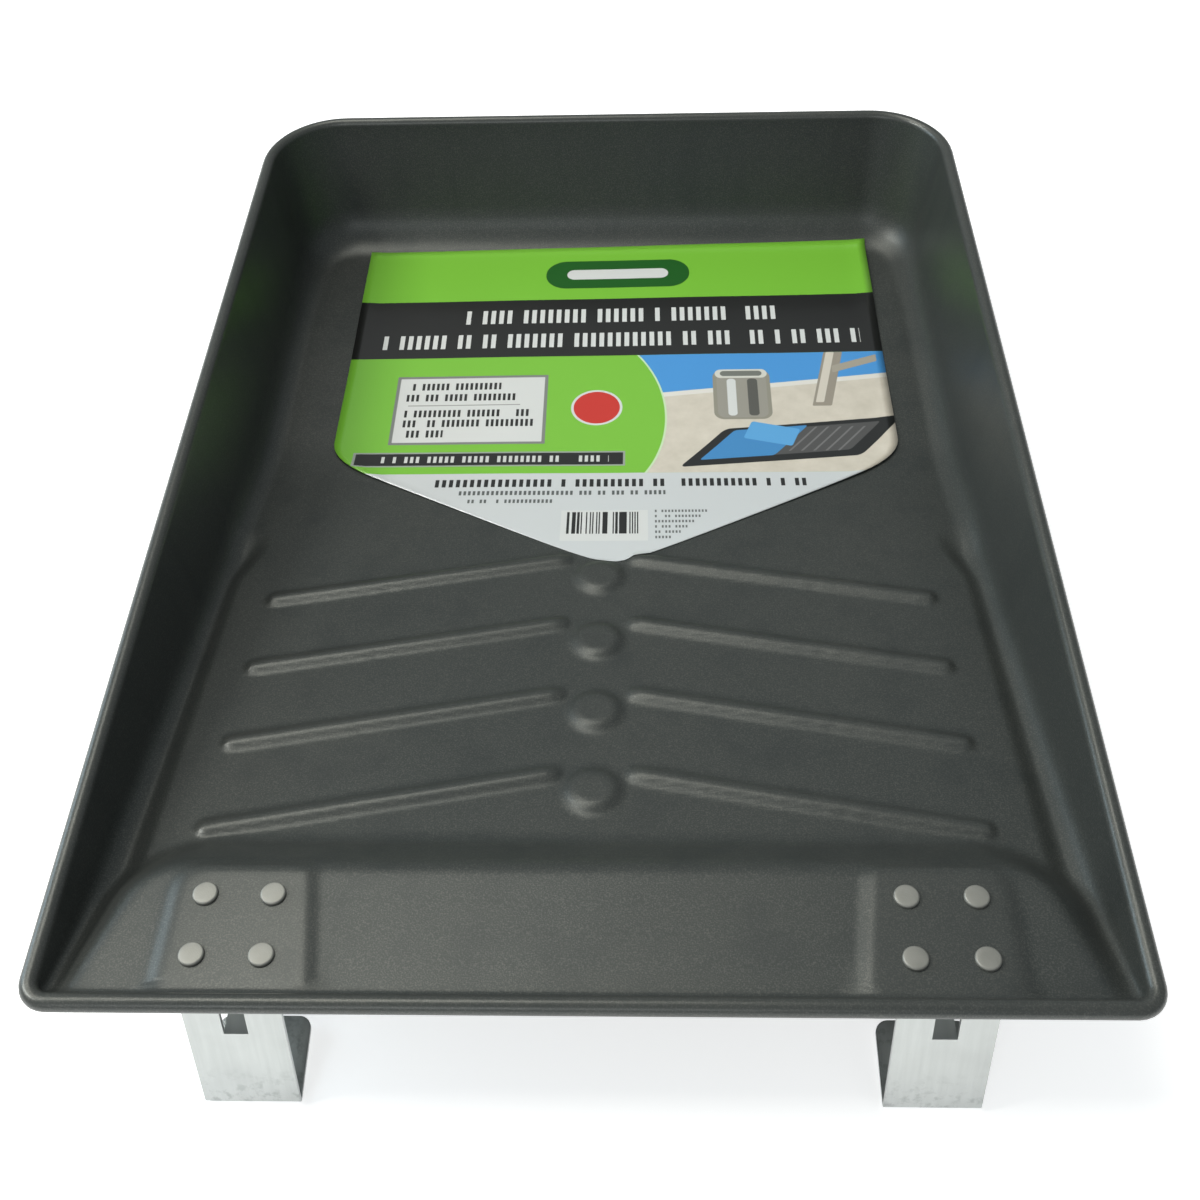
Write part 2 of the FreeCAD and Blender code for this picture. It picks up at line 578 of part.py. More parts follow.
def leg(hand, sign):
    """A leg bent from strip: flange, front plate with a window and its tongue, and foot."""
    body = new_body(f"{hand}_leg")
    profile = body_sketch(body, f"{hand}_leg_profile", "YZ_Plane")
    outer, inner = "0", "Sizes.leg_gauge"
    draw_polygon(profile, [
        flange_end(outer), bend_corner(outer), fold_corner(outer), foot_end(outer),
        foot_end(inner), fold_corner(inner), bend_corner(inner), flange_end(inner),
    ])
    strip = body.newObject("PartDesign::Pad", f"{hand}_leg_strip")
    strip.Profile = profile
    strip.Midplane = True
    strip.setExpression("Length", "Sizes.leg_width")
    doc.recompute()

    def corner_at(sketch, point):
        y, z = (float(sketch.evalExpression(expression)) for expression in point)
        return lambda middle, tangent: (
            abs(tangent.x) > 0.9 and abs(middle.y - y) < 0.01 and abs(middle.z - z) < 0.01
        )

    bends = (
        ("bend", bend_corner, "Sizes.leg_bend_radius"), ("fold", fold_corner, "Sizes.leg_fold_radius"),
    )
    for tag, corner, radius in bends:
        outside = corner_at(profile, corner(outer))
        round_edges(body, f"{hand}_leg_{tag}_outside", f"{radius} + Sizes.leg_gauge", outside)
        round_edges(body, f"{hand}_leg_{tag}_inside", radius, corner_at(profile, corner(inner)))

    half = size("leg_width") / 2
    foot_back = size("leg_foot_front") + size("foot_length")
    flange_back = size("leg_flange_back")

    def strip_corner(middle, tangent):
        at_end = min(abs(middle.y - foot_back), abs(middle.y - flange_back)) < 0.3
        return at_end and abs(abs(middle.x) - half) < 0.01 and abs(tangent.z) > 0.9

    round_edges(body, f"{hand}_leg_corners", "Sizes.leg_corner_radius", strip_corner)

    window = body_sketch(body, f"{hand}_leg_window_outline", "XZ_Plane")
    side = "Sizes.window_width / 2"
    draw_polygon(window, [
        (f"-{side}", "Sizes.window_bottom"), (side, "Sizes.window_bottom"),
        (side, "Sizes.window_top"), (f"-{side}", "Sizes.window_top"),
    ])
    before = body.Tip.Shape.Volume
    opening = body.newObject("PartDesign::Pocket", f"{hand}_leg_window")
    opening.Profile = window
    opening.Midplane = True
    opening.Type = "Length"
    opening.setExpression("Length", "4 * Sizes.leg_width")
    doc.recompute()
    assert opening.Shape.Volume < before - 50

    sections = []
    root_y = f"(Sizes.leg_foot_front + (Sizes.window_bottom + Sizes.leg_gauge) * tan({LEAN}))"
    for tag, y, lift, width in (
        ("root", root_y, "0", "Sizes.window_width"),
        ("tip", f"({root_y} + Sizes.tongue_reach)", "Sizes.tongue_rise", "Sizes.tongue_tip_width"),
    ):
        section = body_sketch(body, f"{hand}_leg_tongue_{tag}", "XZ_Plane")
        section.setExpression("AttachmentOffset.Base.z", f"-{y}")
        low = f"Sizes.window_bottom - Sizes.leg_gauge + {lift}"
        draw_polygon(section, [
            (f"-{width} / 2", low), (f"{width} / 2", low),
            (f"{width} / 2", f"{low} + Sizes.leg_gauge"), (f"-{width} / 2", f"{low} + Sizes.leg_gauge"),
        ])
        sections.append(section)
    before = body.Tip.Shape.Volume
    tongue = body.newObject("PartDesign::AdditiveLoft", f"{hand}_leg_tongue")
    tongue.Profile = sections[0]
    tongue.Sections = sections[1:]
    tongue.Ruled = True
    doc.recompute()
    assert tongue.Shape.Volume > before + 20

    plan = body_sketch(body, f"{hand}_leg_rivet_plan", "XY_Plane")
    plan.AttachmentOffset = Placement(Vector(0, 0, 0), Rotation(Vector(-1, 0, 0), 1))
    plan.setExpression("AttachmentOffset.Rotation.Angle", SHELF_TILT)
    plan.setExpression("AttachmentOffset.Base.z", RIVET_LEVEL)
    doc.recompute()
    for x in ("Sizes.rivet_spacing_across / 2", "-Sizes.rivet_spacing_across / 2"):
        for row in ("front", "back"):
            y = f"Sizes.rivet_{row}_row * sqrt(1 + Sizes.shelf_fall ^ 2)"
            middle = Vector(float(plan.evalExpression(x)), float(plan.evalExpression(y)), 0)
            radius = size("rivet_hole_diameter") / 2
            circle = plan.addGeometry(Part.Circle(middle, Vector(0, 0, 1), radius), False)
            index = plan.addConstraint(Sketcher.Constraint("Radius", circle, radius))
            plan.setExpression(f"Constraints[{index}]", "Sizes.rivet_hole_diameter / 2")
            place_points(plan, [(circle, 3, x, y)])
    before = body.Tip.Shape.Volume
    holes = body.newObject("PartDesign::Pocket", f"{hand}_leg_rivet_holes")
    holes.Profile = plan
    holes.Type = "Length"
    holes.setExpression("Length", "4 * Sizes.leg_gauge")
    doc.recompute()
    assert holes.Shape.Volume < before - 30
    body.setExpression("Placement.Base.x", f"{sign} * Sizes.leg_spacing / 2")
    return body


def rivet(name, x, y):
    """A rivet: a flat head above the pad, a shank through sheet and leg, and the tail set below the leg."""
    body = new_body(name)
    grip = "(Sizes.sheet_gauge + Sizes.leg_clearance + Sizes.leg_gauge)"
    profile = body_sketch(body, f"{name}_profile", "XZ_Plane")
    draw_polygon(profile, [
        ("0", "Sizes.rivet_head_height"),
        ("Sizes.rivet_head_diameter / 2", "Sizes.rivet_head_height"),
        ("Sizes.rivet_head_diameter / 2", "0"),
        ("Sizes.rivet_shank_diameter / 2", "0"),
        ("Sizes.rivet_shank_diameter / 2", f"-{grip}"),
        ("Sizes.rivet_tail_diameter / 2", f"-{grip}"),
        ("Sizes.rivet_tail_diameter / 2", f"-{grip} - Sizes.rivet_tail_height"),
        ("0", f"-{grip} - Sizes.rivet_tail_height"),
    ])
    turned = body.newObject("PartDesign::Revolution", f"{name}_turned")
    turned.Profile = profile
    turned.ReferenceAxis = (profile, ["V_Axis"])
    turned.Angle = 360
    doc.recompute()
    head_top = size("rivet_head_height")
    tail_end = float(profile.evalExpression(f"-{grip} - Sizes.rivet_tail_height"))
    round_edges(body, f"{name}_rounded", "Sizes.rivet_head_round", lambda middle, tangent: (
        abs(tangent.z) < 0.1 and min(abs(middle.z - head_top), abs(middle.z - tail_end)) < 0.01
    ))
    stand_on_pad(body, x, y)
    return body


# -------------------------------------------------------- the paper label
def product_label():
    """A paper label stuck on the well floor and the foot of the ramp, pointed towards the ramp."""
    above = floor_prism("label_underside", "0")
    clear = floor_prism("label_upper_side", "(-Sizes.label_thickness)")
    layer = boolean("Part::Cut", "label_layer", above, clear)
    outline = flat_sketch("label_outline", "0")
    right = "Sizes.label_middle + Sizes.label_half_width"
    left = "Sizes.label_middle - Sizes.label_half_width"
    draw_polygon(outline, [
        (right, "Sizes.label_back"), (left, "Sizes.label_back"), (left, "Sizes.label_shoulder"),
        ("Sizes.label_middle", "Sizes.label_tip"), (right, "Sizes.label_shoulder"),
    ])
    column = prism("label_column", outline, Vector(0, 0, 1), "Sizes.rim_height", "0")
    doc.recompute()
    rounded = doc.addObject("Part::Fillet", "label_rounded_column")
    rounded.Base = column
    rounds = []
    for number, edge in enumerate(column.Shape.Edges, start=1):
        box = edge.BoundBox
        upright = box.ZLength > size("rim_height") / 2
        if upright and box.Center.y < size("label_back") - 1:
            at_tip = abs(box.Center.x - size("label_middle")) < 1
            radius = size("label_tip_radius") if at_tip else size("label_shoulder_radius")
            rounds.append((number, radius, radius))
    rounded.Edges = rounds
    return common("product_label", layer, rounded)


# -------------------------------------------------------- the set, moved to put the origin under its middle
pan = tray_pan()
legs = [leg(hand, sign) for hand, sign in (("left", -1), ("right", 1))]
rivets = [rivet(name, x, y) for name, x, y in rivet_places()]
label = product_label()
doc.recompute()

middle = "(Sizes.rim_length + Sizes.leg_foot_front) / 2"
for made in (pan, *legs, label):
    made.setExpression("Placement.Base.y", f"-{middle}")
for made, (name, x, y) in zip(rivets, rivet_places()):
    made.setExpression("Placement.Base.y", f"{y} - {middle}")
doc.recompute()

for item in doc.Objects:
    assert "Invalid" not in item.State and "Error" not in item.State, f"{item.Name}: {item.State}"
os.makedirs("parts", exist_ok=True)
for made in (pan, *legs, *rivets, label):
    made.Label = made.Name
    shape = made.Shape
    assert not shape.isNull() and shape.isValid() and len(shape.Solids) == 1, made.Name
    shape.exportStep(f"parts/{made.Label}.step")
    print(made.Label, round(shape.Volume, 1), shape.BoundBox)
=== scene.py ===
import math

import bmesh
import bpy
import numpy as np
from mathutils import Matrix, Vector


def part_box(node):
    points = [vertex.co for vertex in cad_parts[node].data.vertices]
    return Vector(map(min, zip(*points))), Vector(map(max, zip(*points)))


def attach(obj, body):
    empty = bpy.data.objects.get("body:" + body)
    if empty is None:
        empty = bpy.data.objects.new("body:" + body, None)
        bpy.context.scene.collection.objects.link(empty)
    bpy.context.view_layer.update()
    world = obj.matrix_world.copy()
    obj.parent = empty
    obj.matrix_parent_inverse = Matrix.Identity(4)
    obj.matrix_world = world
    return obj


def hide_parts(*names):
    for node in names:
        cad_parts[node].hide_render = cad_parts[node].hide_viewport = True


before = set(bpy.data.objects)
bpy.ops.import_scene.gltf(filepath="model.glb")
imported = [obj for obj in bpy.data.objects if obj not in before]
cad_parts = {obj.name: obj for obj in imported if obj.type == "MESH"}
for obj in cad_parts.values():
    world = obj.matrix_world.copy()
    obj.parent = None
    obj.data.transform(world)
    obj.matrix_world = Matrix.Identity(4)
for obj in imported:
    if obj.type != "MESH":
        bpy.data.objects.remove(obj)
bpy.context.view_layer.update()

# A pressed-steel paint roller tray: a deep well, a ramp with raised ribs, a flat shelf with two strip legs
# riveted under it, and a paper label lying in the well. Z is up and Y runs from the legs to the well.
# The shapes below are worked out in millimetres, with y counted from the front edge of the rim.
MM = 0.001

# ---------------------------------------------------------------- the stage: camera, floor and lights
# A white sweep seen from above the legs. The key light is at the left; weaker ones stand overhead, low on
# the left and in front.
camera_data = bpy.data.cameras.new("camera")
camera_data.lens = 42.0
camera_data.shift_x = 0.0067
camera_data.shift_y = -0.0103
camera = bpy.data.objects.new("camera", camera_data)
camera.location = (0.0139, -0.3310, 0.3734)
camera.rotation_euler = (math.radians(39.96), math.radians(1.65), math.radians(1.14))
bpy.context.scene.collection.objects.link(camera)
bpy.context.scene.camera = camera
bpy.context.scene.view_settings.view_transform = "Standard"


def new_object(name, mesh):
    made = bpy.data.objects.new(name, mesh)
    bpy.context.scene.collection.objects.link(made)
    return made


def new_material(name):
    """A material, its node tree and its Principled shader."""
    material = bpy.data.materials.new(name)
    material.use_nodes = True
    return material, material.node_tree, material.node_tree.nodes["Principled BSDF"]


floor_half = 4.0
floor_drop = 0.0002                         # how far the floor lies under the feet
floor_corners = ((-1, -1), (1, -1), (1, 1), (-1, 1))
floor_mesh = bpy.data.meshes.new("floor")
floor_mesh.from_pydata(
    [(x * floor_half, y * floor_half, -floor_drop) for x, y in floor_corners], [], [(0, 1, 2, 3)],
)
floor = new_object("floor", floor_mesh)
floor_paint, _, floor_shader = new_material("pale_floor")
floor_shader.inputs["Base Color"].default_value = (0.93, 0.93, 0.93, 1)
floor_shader.inputs["Roughness"].default_value = 0.9
floor_shader.inputs["Specular IOR Level"].default_value = 0.1
floor_shader.inputs["Emission Color"].default_value = (1, 1, 1, 1)
floor_shader.inputs["Emission Strength"].default_value = 0.6
floor_mesh.materials.append(floor_paint)

world = bpy.data.worlds.new("studio")
world.use_nodes = True
world.node_tree.nodes["Background"].inputs["Color"].default_value = (0.90, 0.97, 1.0, 1)
world.node_tree.nodes["Background"].inputs["Strength"].default_value = 0.36
bpy.context.scene.world = world


def area_light(name, place, width, depth, power, colour):
    """A rectangular lamp that faces the tray."""
    lamp = bpy.data.lights.new(name, "AREA")
    lamp.shape = "RECTANGLE"
    lamp.size = width
    lamp.size_y = depth
    lamp.energy = power
    lamp.color = colour
    made = bpy.data.objects.new(name, lamp)
    made.location = place
    made.rotation_euler = made.location.to_track_quat("Z", "Y").to_euler()
    bpy.context.scene.collection.objects.link(made)


area_light("key_left", (-1.15, 0.0, 1.15), 0.4, 0.4, 14, (1.0, 0.985, 0.93))
area_light("overhead", (-0.42, 0.43, 1.5), 0.9, 0.55, 9.5, (1.0, 0.965, 0.87))
area_light("low_left", (-1.6, 0.5, 0.6), 0.7, 0.7, 9, (0.68, 0.87, 1.0))
area_light("front", (-0.3, -1.5, 0.9), 0.9, 0.6, 4, (0.97, 0.99, 1.0))

# ---------------------------------------------------------------- the pan
# One sheet of 0.6 mm steel, pressed to shape and rolled round its edge, with a dull grey metallic coating.
# Its inner face is found first; the outer face lies one gauge below it, and the rolled rim closes both.
pan_low, pan_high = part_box("tray_pan")
front_edge = pan_low.y / MM
half_width = pan_high.x / MM
rim_top = pan_high.z / MM
length = (pan_high.y - pan_low.y) / MM
gauge = 0.6
bead = 2.4
wall_top = rim_top - bead
side_line = half_width - 2 * bead          # the inner face of the side walls, at their top
back_line = length - 2 * bead
front_line = 2 * bead
side_draft = math.radians(6.5)
back_draft = math.radians(14)
front_draft = math.radians(20)
back_radius = 26.2                          # of the inner corners at the back, at their top
front_radius = 3.2
ramp_start = 42.9
ramp_fall = 0.18
shelf_start = 48.4
shelf_fall = 0.05
shelf_half = 117.0                          # at its back; it widens by shelf_spread towards the front
shelf_spread = 0.35
shelf_back = 43.0
shelf_radius = 9.0
shelf_blend = 3.4
pad_outer, pad_outer_radius = 107.8, 8.0    # the leg pads: their outer edge,
pad_inner, pad_inner_radius = 67.3, 3.5     # their inner edge at pad_spread_from,
pad_spread, pad_spread_from = 0.14, 5.0     # how that edge runs outwards,
pad_back, pad_rise = 42.3, 1.0              # and their back edge and height
pad_edge, pad_corner = (-2.4, 2.6), 0.5     # the soft edge, inside and outside that outline
outer_strip, outer_strip_drop = (103, 112), 0.45  # the shelf falls a little outside the pads


def smooth_max(a, b, blend):
    """The larger of two heights, with a rounded fillet where they cross."""
    reach = np.maximum(blend - np.abs(a - b), 0) / blend
    return np.maximum(a, b) + reach * reach * blend / 4


def smooth_min(a, b, blend):
    """The smaller of two heights, blended in the same way."""
    return -smooth_max(-a, -b, blend)


def smooth_step(low, high, value):
    """0 below low, 1 above high, and an even curve between them."""
    t = np.clip((value - low) / (high - low), 0, 1)
    return t * t * (3 - 2 * t)


def rounded_max(a, b, radius):
    """The distance past two faces at once, with the corner between them rounded."""
    corner = np.hypot(np.maximum(a + radius, 0), np.maximum(b + radius, 0))
    return np.minimum(np.maximum(a, b), -radius) + corner


def on_pad(x, y):
    """1 on the two leg pads, falling to 0 across their soft pressed edges."""
    outer = np.abs(x) - pad_outer
    inner = pad_inner + pad_spread * (y - pad_spread_from) - np.abs(x)
    outer = rounded_max(outer, y - pad_back, pad_outer_radius)
    inner = rounded_max(inner, y - pad_back, pad_inner_radius)
    outside = rounded_max(outer, inner, pad_corner)
    return 1 - smooth_step(*pad_edge, outside)


def shelf_height(x, y):
    """The shelf and its flanks, with the two pads raised on it."""
    top = shelf_start - shelf_fall * np.minimum(y, shelf_back)
    side = (np.abs(x) - shelf_half - (shelf_back - y) * shelf_spread) / math.hypot(1, shelf_spread)
    edge = rounded_max(side, y - shelf_back, shelf_radius)
    shelf = smooth_min(top, top - edge, shelf_blend)
    return shelf + pad_rise * on_pad(x, y) - outer_strip_drop * smooth_step(*outer_strip, np.abs(x))


panel_half, panel_narrowing = 126.6, 6.0    # half the ramp's panel, and how much it narrows at its foot
panel_foot = (166, 190)
gutter_depth, gutter_edge = 2.2, (-4.5, 2.0)
gutter_end = (178, 198)
ramp_blend, floor_blend = 3.0, 2.6


def ramp_height(x, y):
    """The ramp's panel running down into the well floor, and the gutters beside the panel."""
    slope = ramp_start - ramp_fall * y
    panel_edge = panel_half - panel_narrowing * smooth_step(*panel_foot, y)
    beside = smooth_step(*gutter_edge, np.abs(x) - panel_edge)
    gutter = gutter_depth * beside * (1 - smooth_step(*gutter_end, y))
    return smooth_max(slope - gutter, gauge, floor_blend)


rib_rows, rib_pitch, first_rib = 4, 32.5, 61.4
rib_outer_x, rib_inner_x, rib_slant = 108.3, 12.6, 0.213
rib_half, rib_rise, rib_blend = 3.2, 1.75, 0.55
rib_round = (rib_half ** 2 + rib_rise ** 2) / (2 * rib_rise)
rib_flank = 1.5                             # how steeply a rib's height falls on past its edge
button_rows, button_pitch, first_button = 4, 31.5, 75.5
button_base, button_top, button_rise = 8.9, 6.2, 1.8
button_round, button_blend = 0.7, 0.8
far_below = -5.0                            # a height that never shows


def rib_height(x, y):
    """Height above the ramp of the eight ribs, in four rows that slant back towards the middle."""
    best = np.full(np.shape(x), far_below)
    along = (rib_outer_x - rib_inner_x) * np.array([-1.0, rib_slant])
    span = along @ along
    for row in range(rib_rows):
        from_x = np.abs(x) - rib_outer_x
        from_y = y - first_rib - row * rib_pitch
        share = np.clip((from_x * along[0] + from_y * along[1]) / span, 0, 1)
        away = np.hypot(from_x - share * along[0], from_y - share * along[1])
        cap = np.sqrt(np.maximum(rib_round ** 2 - away ** 2, 0)) - (rib_round - rib_rise)
        cap = np.where(away > rib_half, (rib_half - away) * rib_flank, cap)
        best = np.maximum(best, cap)
    return best


def button_height(x, y):
    """Height above the ramp of the four flat-topped buttons on the middle line."""
    best = np.full(np.shape(x), far_below)
    for row in range(button_rows):
        away = np.hypot(x, y - first_button - row * button_pitch)
        flank = (button_base - away) * button_rise / (button_base - button_top)
        best = np.maximum(best, smooth_min(flank, np.full(np.shape(x), button_rise), button_round))
    return best


def pressed_height(x, y):
    """The height of the inner face over the floor of the tray, without its walls."""
    ramp = ramp_height(x, y)
    shaped = smooth_max(ramp, ramp + rib_height(x, y), rib_blend)
    shaped = smooth_max(shaped, ramp + button_height(x, y), button_blend)
    return smooth_max(shaped, shelf_height(x, y), ramp_blend)


corner_taper = 0.1                          # the back corners tighten by this much of the depth
fillet_beside_ramp, fillet_front = 6.0, 1.4
fillet_gain_foot, foot_stretch = 1.5, (150, 220)
fillet_gain_back, back_stretch = 4.5, (325, 372)


def wall_gap(x, y, z):
    """How far a point is beyond the inner face of the tray; negative in the hollow."""
    lift = wall_top - z
    side = (np.abs(x) - side_line + lift * math.tan(side_draft)) * math.cos(side_draft)
    back = (y - back_line + lift * math.tan(back_draft)) * math.cos(back_draft)
    front = (front_line + lift * math.tan(front_draft) - y) * math.cos(front_draft)
    ends = rounded_max(side, back, back_radius - corner_taper * lift)
    floor_gap = (pressed_height(x, y) - z) * math.cos(math.atan(ramp_fall))
    fillet = fillet_beside_ramp + fillet_gain_foot * smooth_step(*foot_stretch, y)
    fillet = fillet + fillet_gain_back * smooth_step(*back_stretch, y)
    return rounded_max(rounded_max(ends, floor_gap, fillet), front, fillet_front)


def spaced(*stretches):
    """Grid lines over stretches given as (start, end, step)."""
    lines = [np.array([stretches[0][0]], float)]
    for start, end, step in stretches:
        count = max(1, round((end - start) / step))
        lines.append(np.linspace(start, end, count + 1)[1:])
    return np.concatenate(lines)


# the floor's grid; at its four corners the square grid is drawn in to rounded corners
grid_half, grid_front, grid_back = 118.0, 10.0, 362.0
grid_back_radius, grid_front_radius = 9.0, 3.0
right_lines = spaced(
    (0, 11, 1.1), (11, 66, 3.0), (66, 76, 1.1), (76, 104, 3.0), (104, 109, 1.2), (109, 115, 1.0),
    (115, grid_half, 0.75),
)
x_lines = np.concatenate([-right_lines[:0:-1], right_lines])
y_lines = spaced(
    (grid_front, 13, 0.75), (13, 38, 2.0), (38, 60, 1.2), (60, 182, 1.55), (182, 200, 3), (200, 260, 4),
    (260, 345, 10), (345, 353, 3), (353, grid_back, 1.0),
)
nx, ny = len(x_lines), len(y_lines)
grid_x, grid_y = np.meshgrid(x_lines, y_lines, indexing="ij")
# for each grid point, the rim point that it looks out to
rim_straight_x = np.where(
    grid_y < (grid_front + grid_back) / 2,
    grid_x * (side_line - front_radius) / (grid_half - grid_front_radius), grid_x,
)
rim_straight_y = np.interp(
    grid_y, [grid_front + grid_front_radius, grid_back - grid_back_radius],
    [front_line + front_radius, back_line - back_radius],
)
on_side_edge = np.abs(grid_x) >= grid_half - 1e-6
rim_from_x = np.where(on_side_edge, np.sign(grid_x) * side_line, rim_straight_x)
rim_from_y = rim_straight_y.copy()
rim_from_y[:, 0] = front_line
rim_from_y[:, -1] = back_line
for end, radius, rim_radius in ((1, grid_back_radius, back_radius), (-1, grid_front_radius, front_radius)):
    centre_y = grid_back - radius if end > 0 else grid_front + radius
    rim_y = back_line - rim_radius if end > 0 else front_line + rim_radius
    for hand in (-1, 1):
        a = (grid_x - hand * (grid_half - radius)) * hand
        b = (grid_y - centre_y) * end
        here = (a > 1e-9) & (b > 1e-9)
        reach = np.maximum(a, b)
        size = np.where(here, np.hypot(a, b), 1)
        out_x = np.where(here, a / size, 0)
        out_y = np.where(here, b / size, 0)
        grid_x = np.where(here, hand * (grid_half - radius + out_x * reach), grid_x)
        grid_y = np.where(here, centre_y + end * out_y * reach, grid_y)
        rim_from_x = np.where(here, hand * (side_line - rim_radius + rim_radius * out_x), rim_from_x)
        rim_from_y = np.where(here, rim_y + end * rim_radius * out_y, rim_from_y)

floor_points = np.stack([grid_x, grid_y, pressed_height(grid_x, grid_y)], axis=-1)

# the loop of grid points round the edge, anticlockwise from the front left corner
loop = [(i, 0) for i in range(nx - 1)] + [(nx - 1, j) for j in range(ny - 1)]
loop += [(i, ny - 1) for i in range(nx - 1, 0, -1)] + [(0, j) for j in range(ny - 1, 0, -1)]
loop = np.array(loop)
edge = floor_points[loop[:, 0], loop[:, 1]]
rim = np.stack([rim_from_x[loop[:, 0], loop[:, 1]], rim_from_y[loop[:, 0], loop[:, 1]]], axis=-1)

# the wall: each ring's point is found along a line from a hub above the floor's edge
floor_rings, wall_rings, wall_crowding = 12, 9, 1.4
hub_height, halvings, farthest = 9.0, 34, 1.8
outward_share = 0.7                         # where, between grid and rim, the wall's foot is measured
hub = edge + np.array([0, 0, hub_height])
run = rim - edge[:, :2]
run_length = np.hypot(run[:, 0], run[:, 1])
across = np.abs(run[:, 0]) / run_length
lean = across * math.tan(side_draft) + (1 - across) * math.tan(back_draft)
foot_z = pressed_height(edge[:, 0] + run[:, 0] * outward_share, edge[:, 1] + run[:, 1] * outward_share)
foot_share = 1 - (wall_top - foot_z) * lean / run_length
rings = []
for ring in range(1, floor_rings + wall_rings):
    if ring <= floor_rings:
        share = foot_share * ring / floor_rings
        height = foot_z
    else:
        climb = ((ring - floor_rings) / wall_rings) ** wall_crowding
        share = foot_share + (1 - foot_share) * climb
        height = foot_z + (wall_top - foot_z) * climb
    target = np.column_stack([edge[:, :2] + run * share[:, None], height])
    ray = target - hub
    near = np.zeros(len(ray))
    far = np.full(len(ray), farthest)
    for _ in range(halvings):
        middle = (near + far) / 2
        point = hub + ray * middle[:, None]
        inside = wall_gap(point[:, 0], point[:, 1], point[:, 2]) < 0
        near = np.where(inside, middle, near)
        far = np.where(inside, far, middle)
    rings.append(hub + ray * near[:, None])
rings.append(np.column_stack([rim, np.full(len(rim), wall_top)]))

# the outward direction at each rim point, and the rolled rim's two faces
before = np.roll(rim, 1, axis=0)
after = np.roll(rim, -1, axis=0)
tangent = after - before
tangent /= np.hypot(tangent[:, 0], tangent[:, 1])[:, None]
outward = np.column_stack([tangent[:, 1], -tangent[:, 0], np.zeros(len(rim))])
upward = np.array([0, 0, 1.0])
bead_centre = np.column_stack([rim, np.full(len(rim), wall_top)]) + outward * bead
bead_steps = 17
bead_turn = math.radians(292)


def bead_ring(step, radius):
    angle = bead_turn * step / bead_steps
    return bead_centre + radius * (-math.cos(angle) * outward + math.sin(angle) * upward)


inner_rings = rings + [bead_ring(step, bead) for step in range(1, bead_steps + 1)]
loop_count = len(loop)
grid_count = nx * ny
face_points = np.concatenate([floor_points.reshape(-1, 3)] + inner_rings)

quads = []
for i in range(nx - 1):
    column = i * ny + np.arange(ny - 1)
    quads.append(np.column_stack([column, column + ny, column + ny + 1, column + 1]))
ring_index = [loop[:, 0] * ny + loop[:, 1]]
ring_index += [grid_count + k * loop_count + np.arange(loop_count) for k in range(len(inner_rings))]
for here, there in zip(ring_index, ring_index[1:]):
    quads.append(np.column_stack([here, there, np.roll(there, -1), np.roll(here, -1)]))
quads = np.concatenate(quads)


def point_normals(points, faces):
    """The average direction of the faces round each point."""
    a, b, c, d = (points[faces[:, k]] for k in range(4))
    facing = np.cross(c - a, d - b)
    normals = np.zeros_like(points)
    for k in range(4):
        np.add.at(normals, faces[:, k], facing)
    return normals / np.linalg.norm(normals, axis=1)[:, None]


normals = point_normals(face_points, quads)
back_points = face_points - gauge * normals
rim_start = grid_count + (len(rings) - 1) * loop_count
for step in range(bead_steps + 1):
    start = rim_start + step * loop_count
    back_points[start:start + loop_count] = bead_ring(step, bead - gauge)
all_points = np.concatenate([face_points, back_points])
shift = len(face_points)
last = ring_index[-1]
closing = np.column_stack([last, last + shift, np.roll(last + shift, -1), np.roll(last, -1)])
all_quads = np.concatenate([quads, quads[:, ::-1] + shift, closing])


def part_coordinates(points):
    """Millimetres from the front edge of the rim, turned into metres in the part's frame."""
    return (np.asarray(points) + np.array([0, front_edge, 0])) * MM


def mesh_from(name, points, faces):
    """A smooth mesh of points in millimetres."""
    mesh = bpy.data.meshes.new(name)
    mesh.from_pydata(part_coordinates(points).tolist(), [], np.asarray(faces).tolist())
    mesh.update()
    mesh.shade_smooth()
    return mesh


pan_mesh = mesh_from("pan", all_points, all_quads)
# the ribs, the buttons, the leg pads and the rim are marked as raised: there the coating is a little
# glossier, as rubbed coating is, and painted a little lighter, a painted highlight
rib_shine, button_shine, pad_shine, rim_shine = 0.45, 0.35, 0.55, 0.8
raised = np.zeros(len(all_points))
flat_x, flat_y = face_points[:, 0], face_points[:, 1]
ridge = np.maximum(rib_height(flat_x, flat_y) / rib_rise * rib_shine, 0)
ridge = np.maximum(ridge, button_height(flat_x, flat_y) / button_rise * button_shine)
ridge = np.maximum(ridge, pad_shine * on_pad(flat_x, flat_y))
raised[:shift] = np.clip(ridge, 0, 1)
raised[rim_start + loop_count:shift] = rim_shine
gloss_and_highlight = pan_mesh.attributes.new("raised", "FLOAT", "POINT")
gloss_and_highlight.data.foreach_set("value", raised)
pan = new_object("pressed_pan", pan_mesh)
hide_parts("tray_pan")
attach(pan, "root")


def group_with(name, inputs, outputs):
    """An empty shader node group; inputs and outputs are (name, socket type, default)."""
    group = bpy.data.node_groups.new(name, "ShaderNodeTree")
    for label, kind, value in inputs:
        socket = group.interface.new_socket(label, in_out="INPUT", socket_type=kind)
        if value is not None:
            socket.default_value = value
    for label, kind in outputs:
        group.interface.new_socket(label, in_out="OUTPUT", socket_type=kind)
    return group, group.nodes.new("NodeGroupInput"), group.nodes.new("NodeGroupOutput")


def math_node(tree, operation, a, b=None, clamp=False):
    """A Math node; each argument is a socket or a number."""
    node = tree.nodes.new("ShaderNodeMath")
    node.operation = operation
    node.use_clamp = clamp
    for socket, value in zip(node.inputs, (a, b)):
        if isinstance(value, bpy.types.NodeSocket):
            tree.links.new(value, socket)
        elif value is not None:
            socket.default_value = value
    return node.outputs[0]


